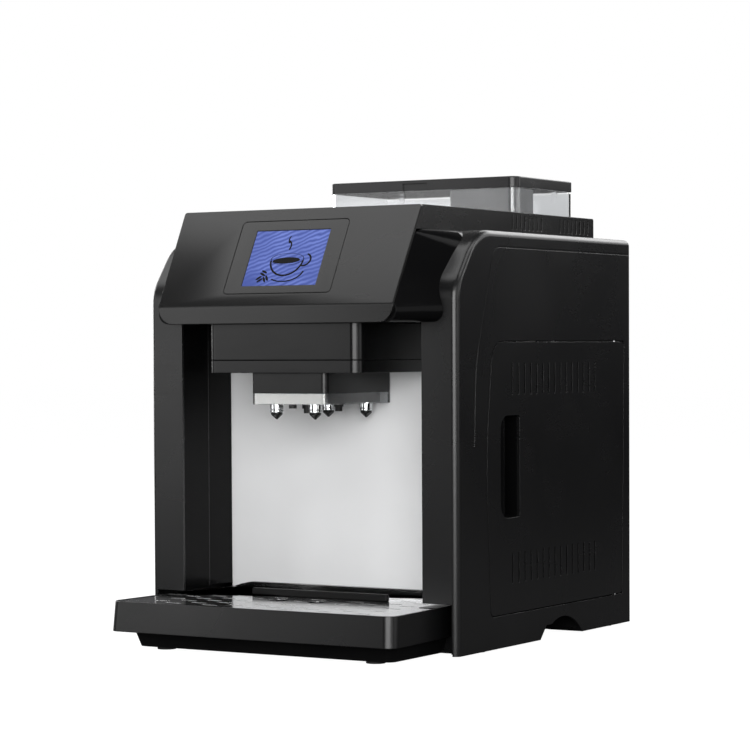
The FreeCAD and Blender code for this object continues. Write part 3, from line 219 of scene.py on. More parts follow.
class Effects:
    """Surface effects that several finishes share, each one a node group built once."""

    def __init__(self) -> None:
        """Build every group."""
        self.moulded_grain = self._moulded_grain()
        self.handling_marks = self._handling_marks()
        self.edge_wear = self._edge_wear()
        self.settled_dust = self._settled_dust()
        self.brushed_lines = self._brushed_lines()

    @staticmethod
    def _moulded_grain() -> bpy.types.NodeTree:
        """Build fine spark-eroded grain with a slow drift in tone.

        Returns:
            The group's tree.
        """
        graph, given, out = new_group("moulded_grain", {"Fineness": 1800.0}, ("Height", "Tone"))
        where = graph.place()
        fine = graph.noise(where, given["Fineness"], 3.0, Roughness=0.6)
        slow = graph.noise(where, 9.0, 2.0, Roughness=0.45)
        sink = graph.noise(where, 34.0, 1.0)
        height = graph.math("MULTIPLY_ADD", sink, 0.6)
        graph.tree.links.new(fine, height.node.inputs[2])
        graph.tree.links.new(height, out["Height"])
        graph.tree.links.new(slow, out["Tone"])
        return graph.tree

    @staticmethod
    def _handling_marks() -> bpy.types.NodeTree:
        """Build the wiped-on haze and faint smears that dull a polished surface.

        Returns:
            The group's tree.
        """
        graph, given, out = new_group("handling_marks", {"Amount": 0.2}, ("Mask",))
        haze = graph.noise(graph.place(), 17.0, 5.0, Distortion=0.7)
        wipes = graph.noise(graph.place((30.0, 30.0, 210.0), (0.3, 0.5, 0.0)), 1.0, 3.0)
        soft = graph.ramp(haze, 0.42, 0.7)
        lines = graph.ramp(wipes, 0.45, 0.75)
        both = graph.math("MULTIPLY", soft, graph.math("ADD", lines, 0.35))
        graph.tree.links.new(graph.math("MULTIPLY", both, given["Amount"]), out["Mask"])
        return graph.tree

    @staticmethod
    def _edge_wear() -> bpy.types.NodeTree:
        """Build the mask of outer edges that hands and cloths have rubbed.

        Returns:
            The group's tree.
        """
        graph, given, out = new_group("edge_wear", {"Amount": 0.3, "Width": 0.0008}, ("Mask",))
        rounded = graph.add("Bevel", {"Radius": given["Width"]}, samples=4)
        true_normal = graph.add("NewGeometry").outputs["Normal"]
        facing = graph.add("VectorMath", operation="DOT_PRODUCT")
        graph.tree.links.new(rounded.outputs[0], facing.inputs[0])
        graph.tree.links.new(true_normal, facing.inputs[1])
        edge = graph.ramp(graph.math("SUBTRACT", 1.0, facing.outputs["Value"]), 0.02, 0.25)
        patches = graph.noise(graph.place(), 70.0, 4.0)
        broken = graph.math("MULTIPLY", edge, graph.ramp(patches, 0.35, 0.65))
        graph.tree.links.new(graph.math("MULTIPLY", broken, given["Amount"], clamp=True), out["Mask"])
        return graph.tree

    @staticmethod
    def _settled_dust() -> bpy.types.NodeTree:
        """Build the mask of thin dust on faces that look up.

        Returns:
            The group's tree.
        """
        graph, given, out = new_group("settled_dust", {"Amount": 0.1}, ("Mask",))
        normal = graph.add("NewGeometry").outputs["Normal"]
        up = graph.add("SeparateXYZ", {"Vector": normal}).outputs["Z"]
        patches = graph.noise(graph.place(), 55.0, 8.0, Roughness=0.7)
        flat = graph.math("MULTIPLY", graph.ramp(up, 0.6, 1.0), graph.ramp(patches, 0.3, 0.75))
        graph.tree.links.new(graph.math("MULTIPLY", flat, given["Amount"]), out["Mask"])
        return graph.tree

    @staticmethod
    def _brushed_lines() -> bpy.types.NodeTree:
        """Build long fine scratches along the width of the machine.

        Returns:
            The group's tree.
        """
        graph, given, out = new_group("brushed_lines", {"Fineness": 1.0}, ("Height", "Tone"))
        where = graph.place((26.0, 1900.0, 1900.0))
        lines = graph.noise(where, given["Fineness"], 5.0, Roughness=0.65)
        slow = graph.noise(graph.place((8.0, 60.0, 60.0)), 1.0, 2.0)
        graph.tree.links.new(lines, out["Height"])
        graph.tree.links.new(slow, out["Tone"])
        return graph.tree


# ---------------------------------------------------------------- finishes


class Surface(Enum):
    """How a finish is made."""

    MOULDED = "moulded"
    BRUSHED = "brushed"
    CLEAR = "clear"


@dataclass(frozen=True)
class Finish:
    """One finish, named after the material slot that it dresses."""

    slot: str
    colour: Colour
    roughness: float
    surface: Surface = Surface.MOULDED
    metallic: float = 0.0
    coat: float = 0.0
    coat_roughness: float = 0.06
    specular: float = 0.5
    fineness: float = 1800.0
    relief: float = 0.12
    marks: float = 0.25
    wear: float = 0.25
    dust: float = 0.02
    edge: float = 0.5
    ior: float = 1.49

    def material(self, effects: Effects) -> bpy.types.Material:
        """Build the finish.

        Args:
            effects: the shared node groups.

        Returns:
            The material.
        """
        material = bpy.data.materials.new(self.slot)
        material.use_nodes = True
        graph = Graph(material.node_tree)
        shader = material.node_tree.nodes["Principled BSDF"]
        shader.inputs["Metallic"].default_value = self.metallic
        shader.inputs["Specular IOR Level"].default_value = self.specular
        shader.inputs["IOR"].default_value = self.ior
        shader.inputs["Coat Weight"].default_value = self.coat
        shader.inputs["Coat Roughness"].default_value = self.coat_roughness
        if self.surface is Surface.CLEAR:
            shader.inputs["Transmission Weight"].default_value = 1.0
        self.colours(graph, shader, effects)
        self.roughness_map(graph, shader, effects)
        self.relief_map(graph, shader, effects)
        return material

    def texture(self, graph: Graph, effects: Effects) -> bpy.types.Node:
        """Place the grain or the brushed lines that lie under everything else.

        Args:
            graph: the material's graph.
            effects: the shared node groups.

        Returns:
            The group node, with its Height and Tone.
        """
        if self.surface is Surface.BRUSHED:
            return self.group(graph, effects.brushed_lines, Fineness=self.fineness)
        return self.group(graph, effects.moulded_grain, Fineness=self.fineness)

    @staticmethod
    def group(graph: Graph, tree: bpy.types.NodeTree, **values: float) -> bpy.types.Node:
        """Place a shared effect in the material.

        Args:
            graph: the material's graph.
            tree: the effect's node group.
            values: constants for the group's inputs.

        Returns:
            The group node.
        """
        node = graph.add("Group", node_tree=tree)
        for label, value in values.items():
            node.inputs[label].default_value = value
        return node

    def colours(self, graph: Graph, shader: bpy.types.Node, effects: Effects) -> None:
        """Wire the base colour: drift in tone, rubbed edges and dust.

        Args:
            graph: the material's graph.
            shader: its Principled shader.
            effects: the shared node groups.
        """
        grain = self.texture(graph, effects)
        deep = tuple(channel * 0.86 for channel in self.colour)
        pale = tuple(min(1.0, channel * 1.12 + 0.001) for channel in self.colour)
        base = graph.mix(grain.outputs["Tone"], deep, pale)
        rubbed = tuple(min(1.0, channel * 1.5 + 0.02) for channel in self.colour)
        wear = self.group(graph, effects.edge_wear, Amount=self.wear, Width=self.edge * MM * 1.6)
        base = graph.mix(wear.outputs["Mask"], base, rubbed)
        dust = self.group(graph, effects.settled_dust, Amount=self.dust)
        base = graph.mix(dust.outputs["Mask"], base, DUST_GREY)
        graph.tree.links.new(base, shader.inputs["Base Color"])

    def roughness_map(self, graph: Graph, shader: bpy.types.Node, effects: Effects) -> None:
        """Wire the roughness: a slow drift and the marks of handling.

        Args:
            graph: the material's graph.
            shader: its Principled shader.
            effects: the shared node groups.
        """
        grain = self.texture(graph, effects)
        around = graph.math("SUBTRACT", grain.outputs["Tone"], 0.5)
        drift = graph.math("MULTIPLY", around, self.roughness * 0.5)
        marks = self.group(graph, effects.handling_marks, Amount=self.marks * 0.35)
        marked = graph.math("ADD", drift, marks.outputs["Mask"])
        total = graph.math("ADD", marked, self.roughness, clamp=True)
        graph.tree.links.new(total, shader.inputs["Roughness"])

    def relief_map(self, graph: Graph, shader: bpy.types.Node, effects: Effects) -> None:
        """Wire the relief: grain over softly broken edges.

        Args:
            graph: the material's graph.
            shader: its Principled shader.
            effects: the shared node groups.
        """
        soft = graph.add("Bevel", {"Radius": self.edge * MM}, samples=4)
        values = {
            "Height": self.texture(graph, effects).outputs["Height"],
            "Normal": soft.outputs[0],
            "Strength": self.relief,
            "Distance": 0.00012,
        }
        graph.tree.links.new(graph.add("Bump", values).outputs[0], shader.inputs["Normal"])


@dataclass(frozen=True)
class ScreenFinish(Finish):
    """Backlit screen with slanting pale waves over blue."""

    glow: float = 0.55
    crest: Colour = (0.11, 0.15, 0.4)
    cell_gap: Colour = (0.02, 0.02, 0.1)

    def colours(self, graph: Graph, shader: bpy.types.Node, effects: Effects) -> None:
        """Wire the waves into the glow as well as the colour.

        Args:
            graph: the material's graph.
            shader: its Principled shader.
            effects: the shared node groups; not used here.
        """
        where = graph.place((1.0, 1.0, 1.0), (0.0, 0.33, 0.0))
        waves = graph.add("TexWave", {
            "Vector": where, "Scale": 88.0, "Distortion": 5.0, "Detail": 2.0, "Detail Scale": 0.8,
        }, wave_type="BANDS", bands_direction="Z", wave_profile="SIN")
        slow = graph.noise(graph.place(), 24.0, 1.0)
        tone = graph.math("MULTIPLY", waves.outputs["Fac"], graph.ramp(slow, 0.2, 0.75))
        blue = graph.mix(tone, self.colour, self.crest)
        cells = graph.noise(graph.place(), 2600.0, 0.0)
        blue = graph.mix(graph.math("MULTIPLY", cells, 0.12), blue, self.cell_gap)
        graph.tree.links.new(blue, shader.inputs["Base Color"])
        graph.tree.links.new(blue, shader.inputs["Emission Color"])
        shader.inputs["Emission Strength"].default_value = self.glow


@dataclass(frozen=True)
class BoardFinish(Finish):
    """Lacquered circuit board with pale tracks."""

    track: Colour = (0.1, 0.3, 0.12)

    def colours(self, graph: Graph, shader: bpy.types.Node, effects: Effects) -> None:
        """Wire the tracks between the parts.

        Args:
            graph: the material's graph.
            shader: its Principled shader.
            effects: the shared node groups; not used here.
        """
        tracks = graph.add("TexBrick", {
            "Vector": graph.place(), "Scale": 60.0, "Mortar Size": 0.03, "Color1": (*self.colour, 1.0),
            "Color2": (*tuple(channel * 0.8 for channel in self.colour), 1.0), "Mortar": (*self.track, 1.0),
        })
        graph.tree.links.new(tracks.outputs["Color"], shader.inputs["Base Color"])


FINISHES: tuple[Finish, ...] = (
    Finish("shell_black", (0.004, 0.004, 0.0043), 0.28, specular=0.48, marks=0.1, relief=0.05, wear=0.12,
           edge=0.4),
    Finish("inner_black", (0.0025, 0.0025, 0.0027), 0.16, specular=0.07, relief=0.04, wear=0.12),
    Finish("fascia_black", (0.006, 0.006, 0.006), 0.26, relief=0.06, wear=0.2, marks=0.06, edge=0.7),
    Finish("housing_black", (0.0035, 0.0035, 0.0037), 0.22, specular=0.34, marks=0.08, relief=0.06, wear=0.15,
           edge=0.6),
    Finish("tray_black", (0.0035, 0.0035, 0.0037), 0.28, specular=0.42, marks=0.12, relief=0.08, wear=0.25,
           edge=0.8),
    Finish("chassis_black", (0.003, 0.003, 0.0032), 0.5, specular=0.12, relief=0.3, fineness=900.0),
    Finish("bezel_grey", (0.006, 0.006, 0.006), 0.26, marks=0.06, relief=0.02, wear=0.1, edge=0.35),
    ScreenFinish("screen", (0.035, 0.055, 0.2), 0.3, specular=0.1, marks=0.05, relief=0.0, wear=0.0,
                 edge=0.2),
    Finish("splash_grey", (0.84, 0.845, 0.85), 0.5, relief=0.04, wear=0.05, marks=0.2, dust=0.0),
    Finish("grid_steel", (0.8, 0.8, 0.81), 0.13, Surface.BRUSHED, metallic=1.0, relief=0.012, fineness=1.0,
           marks=0.1, wear=0.1, dust=0.0, edge=0.3),
    Finish("rail_black", (0.003, 0.003, 0.003), 0.4, specular=0.15, relief=0.15, wear=0.1),
    Finish("clear_plastic", (0.8, 0.81, 0.82), 0.045, Surface.CLEAR, relief=0.02, wear=0.0, dust=0.0,
           marks=0.2, edge=0.3),
    Finish("smoke_plastic", (0.055, 0.055, 0.057), 0.28, coat=0.5, relief=0.04, dust=0.0),
    Finish("lid_black", (0.014, 0.014, 0.0145), 0.2, specular=0.35, relief=0.03, wear=0.2, dust=0.03,
           edge=0.6),
    Finish("manifold_black", (0.006, 0.006, 0.006), 0.5, relief=0.2),
    Finish("sleeve_chrome", (0.72, 0.73, 0.74), 0.09, metallic=1.0, relief=0.02, wear=0.0, dust=0.0),
    Finish("tip_black", (0.006, 0.006, 0.006), 0.2, coat=0.1, relief=0.02, wear=0.1),
    Finish("rubber_black", (0.014, 0.014, 0.014), 0.75, relief=0.4, fineness=700.0, wear=0.4),
    Finish("float_red", (0.5, 0.03, 0.02), 0.4, relief=0.1),
    Finish("steel", (0.48, 0.48, 0.49), 0.26, Surface.BRUSHED, metallic=1.0, relief=0.2, fineness=2.0),
    Finish("alloy", (0.55, 0.55, 0.56), 0.44, metallic=1.0, relief=0.5, fineness=500.0),
    Finish("motor_steel", (0.2, 0.2, 0.21), 0.38, metallic=0.8, relief=0.15, fineness=600.0),
    Finish("white_plastic", (0.6, 0.59, 0.56), 0.4, relief=0.1, specular=0.45),
    Finish("rear_metal", (0.016, 0.016, 0.0165), 0.5, relief=0.5, fineness=650.0, wear=0.3),
    Finish("trim_black", (0.01, 0.01, 0.01), 0.42, relief=0.2, fineness=900.0),
    BoardFinish("board_green", (0.01, 0.08, 0.03), 0.3, relief=0.05),
    Finish("inlet_brass", (0.62, 0.48, 0.2), 0.24, Surface.BRUSHED, metallic=1.0, relief=0.1),
)


class Wardrobe:
    """All finishes, ready to be put on pieces."""

    def __init__(self, effects: Effects) -> None:
        """Build one material for each finish.

        Args:
            effects: the shared node groups.
        """
        self.materials = {finish.slot: finish.material(effects) for finish in FINISHES}

    def dress(self, piece: bpy.types.Object, slot: str) -> None:
        """Put a finish on a piece.

        Args:
            piece: the object.
            slot: the finish's slot name.
        """
        piece.data.materials.clear()
        piece.data.materials.append(self.materials[slot])

    def dress_frame(self) -> None:
        """Put its finish on every node of the frame."""
        for entry in frame["record"]["subparts"]:
            node = frame["nodes"][entry["node"]]
            material = self.materials[entry["material_slot"]]
            if not node.data.materials:
                node.data.materials.append(material)
            for place in range(len(node.material_slots)):
                node.material_slots[place].material = material
            log.info("dressed %s in %s", node.name, material.name)


# ---------------------------------------------------------------- mesh tools


def finish_piece(
    name: str, mesh: bmesh.types.BMesh, body: str, slot: str, wardrobe: Wardrobe,
) -> bpy.types.Object:
    """Turn a finished bmesh into a piece that rides on a body.

    Args:
        name: the piece's name.
        mesh: its shape in the machine's frame; it is freed.
        body: the body it moves with.
        slot: its material slot.
        wardrobe: the finishes.

    Returns:
        The new object.
    """
    bmesh.ops.remove_doubles(mesh, verts=mesh.verts, dist=MERGE_DISTANCE)
    bmesh.ops.recalc_face_normals(mesh, faces=mesh.faces)
    data = bpy.data.meshes.new(name)
    mesh.to_mesh(data)
    mesh.free()
    for face in data.polygons:
        face.use_smooth = True
    data.set_sharp_from_angle(angle=math.radians(SHARP_TURN))
    piece = bpy.data.objects.new(name, data)
    bpy.context.scene.collection.objects.link(piece)
    weighted = piece.modifiers.new("weighted_normals", "WEIGHTED_NORMAL")
    weighted.keep_sharp = True
    wardrobe.dress(piece, slot)
    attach(piece, body)
    log.info("built %s on %s with %d faces", name, body, len(data.polygons))
    return piece


def lathe(mesh: bmesh.types.BMesh, profile: list[Flat], centre: Vector, steps: int) -> None:
    """Turn a profile about an upright axis.

    Args:
        mesh: the bmesh that gets the shape.
        profile: radius and height pairs; it starts and ends on the axis, or closes on itself.
        centre: foot of the axis.
        steps: stretches round the axis.
    """
    points = [mesh.verts.new(centre + Vector((radius, 0.0, height))) for radius, height in profile]
    edges = [mesh.edges.new(pair) for pair in zip(points, points[1:])]
    bmesh.ops.spin(
        mesh, geom=points + edges, cent=centre, axis=(0.0, 0.0, 1.0), angle=math.tau, steps=steps,
        use_merge=True)


def bevel_sharp(
    mesh: bmesh.types.BMesh, width: float, angle: float = BEVEL_TURN, segments: int = 3,
) -> None:
    """Round every edge that turns by more than an angle.

    Args:
        mesh: the bmesh.
        width: the bevel's offset.
        angle: smallest turn that is rounded, in degrees.
        segments: steps across each bevel.
    """
    limit = math.radians(angle)
    sharp = [edge for edge in mesh.edges if edge.is_manifold and edge.calc_face_angle(0.0) > limit]
    bmesh.ops.bevel(
        mesh, geom=sharp, offset=width, offset_type="OFFSET", affect="EDGES", segments=segments, profile=0.5,
        material=-1, clamp_overlap=True)


def brick(low: Vector, high: Vector) -> bmesh.types.BMesh:
    """Box between two corners.

    Args:
        low: lowest corner.
        high: highest corner.

    Returns:
        The bmesh.
    """
    mesh = bmesh.new()
    bmesh.ops.create_cube(mesh, size=1.0)
    bmesh.ops.scale(mesh, vec=high - low, verts=mesh.verts)
    bmesh.ops.translate(mesh, vec=(low + high) / 2, verts=mesh.verts)
    return mesh


# ---------------------------------------------------------------- casings


@dataclass
class Casing:
    """Merged copy of a moulded cover, with smooth shading and its sharp edges eased where there is room.

    The radius is in millimetres and is the most that an edge gets: the shortest edges of a cover limit the
    bevel on all of it, so covers with slots or fine arcs keep nearly sharp edges. The angle is the smallest
    turn that is eased, in degrees.
    """

    node: str
    body: str
    radius: float
    angle: float = 38.0
    segments: int = 2

    def build(self, wardrobe: Wardrobe) -> None:
        """Merge a copy of the node's shape and ease its edges.

        Args:
            wardrobe: the finishes.
        """
        mesh = bmesh.new()
        mesh.from_mesh(frame["nodes"][self.node].data)
        bmesh.ops.remove_doubles(mesh, verts=mesh.verts, dist=CAD_MERGE_DISTANCE)
        bmesh.ops.dissolve_limit(
            mesh, angle_limit=math.radians(FLAT_TURN), verts=mesh.verts, edges=mesh.edges,
            use_dissolve_boundaries=False)
        bevel_sharp(mesh, self.radius * MM, self.angle, self.segments)
        entries = frame["record"]["subparts"]
        slot = next(entry["material_slot"] for entry in entries if entry["node"] == self.node)
        piece = finish_piece(self.node + "_moulding", mesh, self.body, slot, wardrobe)
        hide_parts(self.node)


CASINGS: tuple[Casing, ...] = (
    Casing("control_fascia", ROOT_BODY, 0.6),
    Casing("touch_bezel", ROOT_BODY, 0.55),
    Casing("top_cover", ROOT_BODY, 0.5),
    Casing("spout_housing", ROOT_BODY, 0.5),
    Casing("housing_band", ROOT_BODY, 0.4),
    Casing("spout_block", ROOT_BODY, 0.5),
    Casing("spout_skirt", ROOT_BODY, 0.3),
    Casing("drip_tray", "drip_tray", 0.9),
    Casing("hopper_lid", "hopper_lid", 0.7),
    Casing("side_door", "side_door", 0.7),
    Casing("right_side_shell", ROOT_BODY, 0.6),
    Casing("left_side_shell", ROOT_BODY, 0.6),
)


# ---------------------------------------------------------------- screen


@dataclass
class ScreenIcon:
    """Cup, saucer, steam and beans drawn as thin raised strokes on the screen.

    Flat sizes are in millimetres: across from the middle, and down the slope from the panel's top edge.
    A bean's place is its across, its down and its lean in degrees.
    """

    glass_depth: float = 0.4
    stroke: float = 1.7
    proud: float = 0.12
    bezel_thick: float = 1.6
    bezel_drop: float = 11.9
    bean_half: Flat = (3.1, 1.05)
    bean_crease: float = 1.35
    bean_places: tuple[tuple[float, float, float], ...] = (
        (-18.3, 62.4, 25.0), (-21.2, 68.2, -35.0), (-14.9, 68.0, 60.0))

    def __post_init__(self) -> None:
        """Find the slanted panel from the bezel's box."""
        low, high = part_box("touch_bezel")
        thick = self.bezel_thick * MM
        down = Vector((0.0, low.y - high.y, low.z - high.z)).normalized()
        for _ in range(4):
            run = (high.y - low.y) - thick * abs(down.z)
            fall = (high.z - low.z) - thick * abs(down.y)
            down = Vector((0.0, -run, -fall)).normalized()
        self.down = down
        self.out = Vector((0.0, down.z, -down.y))
        top = Vector((0.0, high.y - thick * abs(down.z), high.z))
        self.start = top - down * self.bezel_drop * MM

    def settle(self, mesh: bmesh.types.BMesh) -> None:
        """Move a flat drawing from its own plane on to the screen.

        Args:
            mesh: the drawing, in millimetres.
        """
        face = self.start - self.out * (self.glass_depth * MM)
        across = Vector((1.0, 0.0, 0.0))
        turn = Matrix((across, self.down, self.out)).transposed().to_4x4()
        matrix = Matrix.Translation(face) @ turn @ Matrix.Scale(MM, 4)
        bmesh.ops.transform(mesh, matrix=matrix, verts=mesh.verts)

    def arc(
        self, mesh: bmesh.types.BMesh, centre: Flat, radius: Flat, span: Flat, width: float | None = None,
    ) -> None:
        """Add a stroke along part of an ellipse.

        Args:
            mesh: the drawing.
            centre: middle of the ellipse.
            radius: its reach across and down.
            span: first and last angle, in degrees, from across towards down.
            width: the stroke's width, when it isn't the usual one.
        """
        wide = width or self.stroke
        first, last = (math.radians(angle) for angle in span)
        share = wide / 2 / max(radius)
        ends = [mesh.verts.new((1.0 + side * share, 0.0, 0.0)) for side in (-1, 1)]
        edge = mesh.edges.new(ends)
        bmesh.ops.spin(
            mesh, geom=ends + [edge], cent=(0, 0, 0), axis=(0, 0, 1), angle=last - first,
            steps=max(6, int(abs(last - first) * 9)), use_merge=False)
        loose = [vert for vert in mesh.verts if not vert.tag]
        bmesh.ops.rotate(mesh, cent=(0, 0, 0), matrix=Matrix.Rotation(first, 3, "Z"), verts=loose)
        bmesh.ops.scale(mesh, vec=(radius[0], radius[1], 1.0), verts=loose)
        bmesh.ops.translate(mesh, vec=(centre[0], centre[1], 0.0), verts=loose)
        for vert in loose:
            vert.tag = True

    @staticmethod
    def disc(mesh: bmesh.types.BMesh, centre: Flat, radius: Flat, turn: float) -> None:
        """Add a filled ellipse.

        Args:
            mesh: the drawing.
            centre: its middle.
            radius: its reach across and down.
            turn: its lean in degrees.
        """
        made = bmesh.ops.create_circle(mesh, cap_ends=True, segments=28, radius=1.0)["verts"]
        bmesh.ops.scale(mesh, vec=(radius[0], radius[1], 1.0), verts=made)
        lean = Matrix.Rotation(math.radians(turn), 3, "Z")
        bmesh.ops.rotate(mesh, cent=(0, 0, 0), matrix=lean, verts=made)
        bmesh.ops.translate(mesh, vec=(centre[0], centre[1], 0.0), verts=made)
        for vert in made:
            vert.tag = True

    def raise_strokes(self, mesh: bmesh.types.BMesh) -> None:
        """Give the flat strokes their thickness.

        Args:
            mesh: the drawing.
        """
        faces = list(mesh.faces)
        made = bmesh.ops.extrude_face_region(mesh, geom=faces, use_keep_orig=True)["geom"]
        lifted = [item for item in made if isinstance(item, bmesh.types.BMVert)]
        bmesh.ops.translate(mesh, vec=(0.0, 0.0, self.proud), verts=lifted)

    def cup(self, wardrobe: Wardrobe) -> None:
        """Draw the cup with its coffee, handle and saucer.

        Args:
            wardrobe: the finishes.
        """
        mesh = bmesh.new()
        self.arc(mesh, (1.8, 49.3), (16.4, 5.6), (0, 360), 0.7)
        self.disc(mesh, (1.0, 50.6), (13.6, 3.0), -2.0)
        self.arc(mesh, (1.8, 49.6), (16.2, 15.4), (4, 176))
        self.arc(mesh, (18.6, 50.2), (6.6, 5.8), (-70, 100))
        self.arc(mesh, (2.6, 59.6), (18.6, 11.2), (8, 128))
        self.raise_strokes(mesh)
        self.settle(mesh)
        finish_piece("screen_cup_icon", mesh, ROOT_BODY, "inner_black", wardrobe)

    def steam(self, wardrobe: Wardrobe) -> None:
        """Draw the wisp of steam above the cup.

        Args:
            wardrobe: the finishes.
        """
        mesh = bmesh.new()
        self.arc(mesh, (3.4, 30.2), (5.2, 5.6), (140, 215), 1.2)
        self.arc(mesh, (-3.6, 36.6), (5.4, 5.6), (-62, 38), 1.5)
        self.raise_strokes(mesh)
        self.settle(mesh)
        finish_piece("screen_steam_icon", mesh, ROOT_BODY, "inner_black", wardrobe)

    def beans(self, wardrobe: Wardrobe) -> None:
        """Draw the beans beside the saucer, each as two halves with a crease between them.

        Args:
            wardrobe: the finishes.
        """
        for number, (across, down, lean) in enumerate(self.bean_places):
            mesh = bmesh.new()
            for side in (-1, 1):
                shift = Vector((0.0, side * self.bean_crease, 0.0))
                shift.rotate(Matrix.Rotation(math.radians(lean), 3, "Z"))
                self.disc(mesh, (across + shift.x, down + shift.y), self.bean_half, lean)
            self.raise_strokes(mesh)
            self.settle(mesh)
            finish_piece(f"screen_bean_icon_{number + 1}", mesh, ROOT_BODY, "inner_black", wardrobe)

    def build(self, wardrobe: Wardrobe) -> None:
        """Draw the whole icon.

        Args:
            wardrobe: the finishes.
        """
        self.cup(wardrobe)
        self.steam(wardrobe)
        self.beans(wardrobe)


# ---------------------------------------------------------------- spouts


@dataclass
class Nozzles:
    """Four turned coffee and water nozzles under the spout block, with sizes in millimetres."""

    outer: float = 5.7
    waist: float = 5.35
    bore: float = 4.5
    neck: float = 4.4
    steps: int = 48

    def tip(self, centre: Vector, skirt: float, tall: float) -> bmesh.types.BMesh:
        """Turn the cone that the drink leaves from.

        Args:
            centre: foot of its axis.
            skirt: height at which the sleeve starts.
            tall: height of the nozzle.

        Returns:
            The cone with its neck.
        """
        cone = [
            (0.0, 0.0), (0.8, 0.1), (1.1, 0.5), (4.5, 3.6), (4.9, 4.2), (5.05, 4.7), (5.05, 5.5), (4.7, 5.9),
        ]
        profile = [(radius * MM, height * MM) for radius, height in cone]
        neck = self.neck * MM
        profile += [(neck, skirt + 0.3 * MM), (neck, tall), (0.0, tall)]
        mesh = bmesh.new()
        lathe(mesh, profile, centre, self.steps)
        return mesh

    def sleeve(self, centre: Vector, skirt: float, tall: float) -> bmesh.types.BMesh:
        """Turn the bright sleeve with its groove.

        Args:
            centre: foot of the nozzle's axis.
            skirt: height at which the sleeve starts.
            tall: height of the nozzle.

        Returns:
            The sleeve.
        """
        bore = self.bore * MM
        outer = self.outer * MM
        waist = self.waist * MM
        profile = [
            (bore, skirt), (5.4 * MM, skirt), (outer, skirt + 0.35 * MM), (outer, skirt + 1.6 * MM),
            (waist, skirt + 1.9 * MM), (waist, skirt + 2.5 * MM), (outer, skirt + 2.8 * MM),
            (outer, tall), (bore, tall), (bore, skirt),
        ]
        mesh = bmesh.new()
        lathe(mesh, profile, centre, self.steps)
        return mesh

    def build(self, wardrobe: Wardrobe) -> None:
        """Turn each sleeve and tip where its solids stand.

        Args:
            wardrobe: the finishes.
        """
        low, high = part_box("nozzle_tips")
        sleeve_low, sleeve_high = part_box("nozzle_sleeves")
        outer = self.outer * MM
        xs = (sleeve_low.x + outer, sleeve_high.x - outer)
        ys = (sleeve_low.y + outer, sleeve_high.y - outer)
        tall = high.z - low.z
        skirt = sleeve_low.z - low.z
        places = [(x, y) for y in ys for x in xs]
        for number, (x, y) in enumerate(places, start=1):
            centre = Vector((x, y, low.z))
            cone = self.tip(centre, skirt, tall)
            tip = finish_piece(f"nozzle_tip_{number}", cone, ROOT_BODY, "tip_black", wardrobe)
            ring = self.sleeve(centre, skirt, tall)
            sleeve = finish_piece(f"nozzle_sleeve_{number}", ring, ROOT_BODY, "sleeve_chrome", wardrobe)
            if number == 1:
                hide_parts("nozzle_tips")
                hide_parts("nozzle_sleeves")


@dataclass
class SpoutStrip:
    """Pale strip behind the clear skirt's front wall, with sizes in millimetres."""

    wall: float = 2.2
    wall_gap: float = 0.2
    thick: float = 1.1
    side_gap: float = 3.0
    foot_gap: float = 0.5
    top_gap: float = 0.3
    edge: float = 0.25

    def build(self, wardrobe: Wardrobe) -> None:
        """Fit the strip between the skirt's front wall and the manifold.

        Args:
            wardrobe: the finishes.
        """
        skirt_low, skirt_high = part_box("spout_skirt")
        low = skirt_low + Vector((self.side_gap, self.wall + self.wall_gap, self.foot_gap)) * MM
        high = skirt_high - Vector((self.side_gap, 0.0, self.top_gap)) * MM
        high.y = low.y + self.thick * MM
        mesh = brick(low, high)
        bevel_sharp(mesh, self.edge * MM)
        finish_piece("spout_pale_strip", mesh, ROOT_BODY, "white_plastic", wardrobe)


# ---------------------------------------------------------------- tray


@dataclass
class CupRail:
    """Low bar on the drip grid that keeps cups under the spouts; its edge is in millimetres."""

    edge: float = 1.1

    def build(self, wardrobe: Wardrobe) -> None:
        """Make the bar with rounded edges.

        Args:
            wardrobe: the finishes.
        """
        mesh = brick(*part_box("cup_rail"))
        bevel_sharp(mesh, self.edge * MM, segments=4)
        piece = finish_piece("cup_rail_bar", mesh, "drip_grid", "rail_black", wardrobe)
        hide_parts("cup_rail")


# ---------------------------------------------------------------- studio


@dataclass
class Softbox:
    """One area light, placed by its bearing in degrees, its height and its distance from the machine."""

    name: str
    bearing: float
    height: float
    away: float
    size: tuple[float, float]
    power: float
    downward: bool = False

    def build(self, target: Vector) -> None:
        """Hang the light so that it faces the target, or the floor when it points downward.

        Args:
            target: the point it is placed about.
        """
        light = bpy.data.lights.new(self.name, "AREA")
        light.shape = "RECTANGLE"
        light.size, light.size_y = self.size
        light.energy = self.power
        lamp = bpy.data.objects.new(self.name, light)
        angle = math.radians(self.bearing)
        out = Vector((math.sin(angle), -math.cos(angle), 0.0)) * self.away
        lamp.location = target + out + Vector((0.0, 0.0, self.height))
        if not self.downward:
            lamp.rotation_euler = (target - lamp.location).to_track_quat("-Z", "Y").to_euler()
        bpy.context.scene.collection.objects.link(lamp)


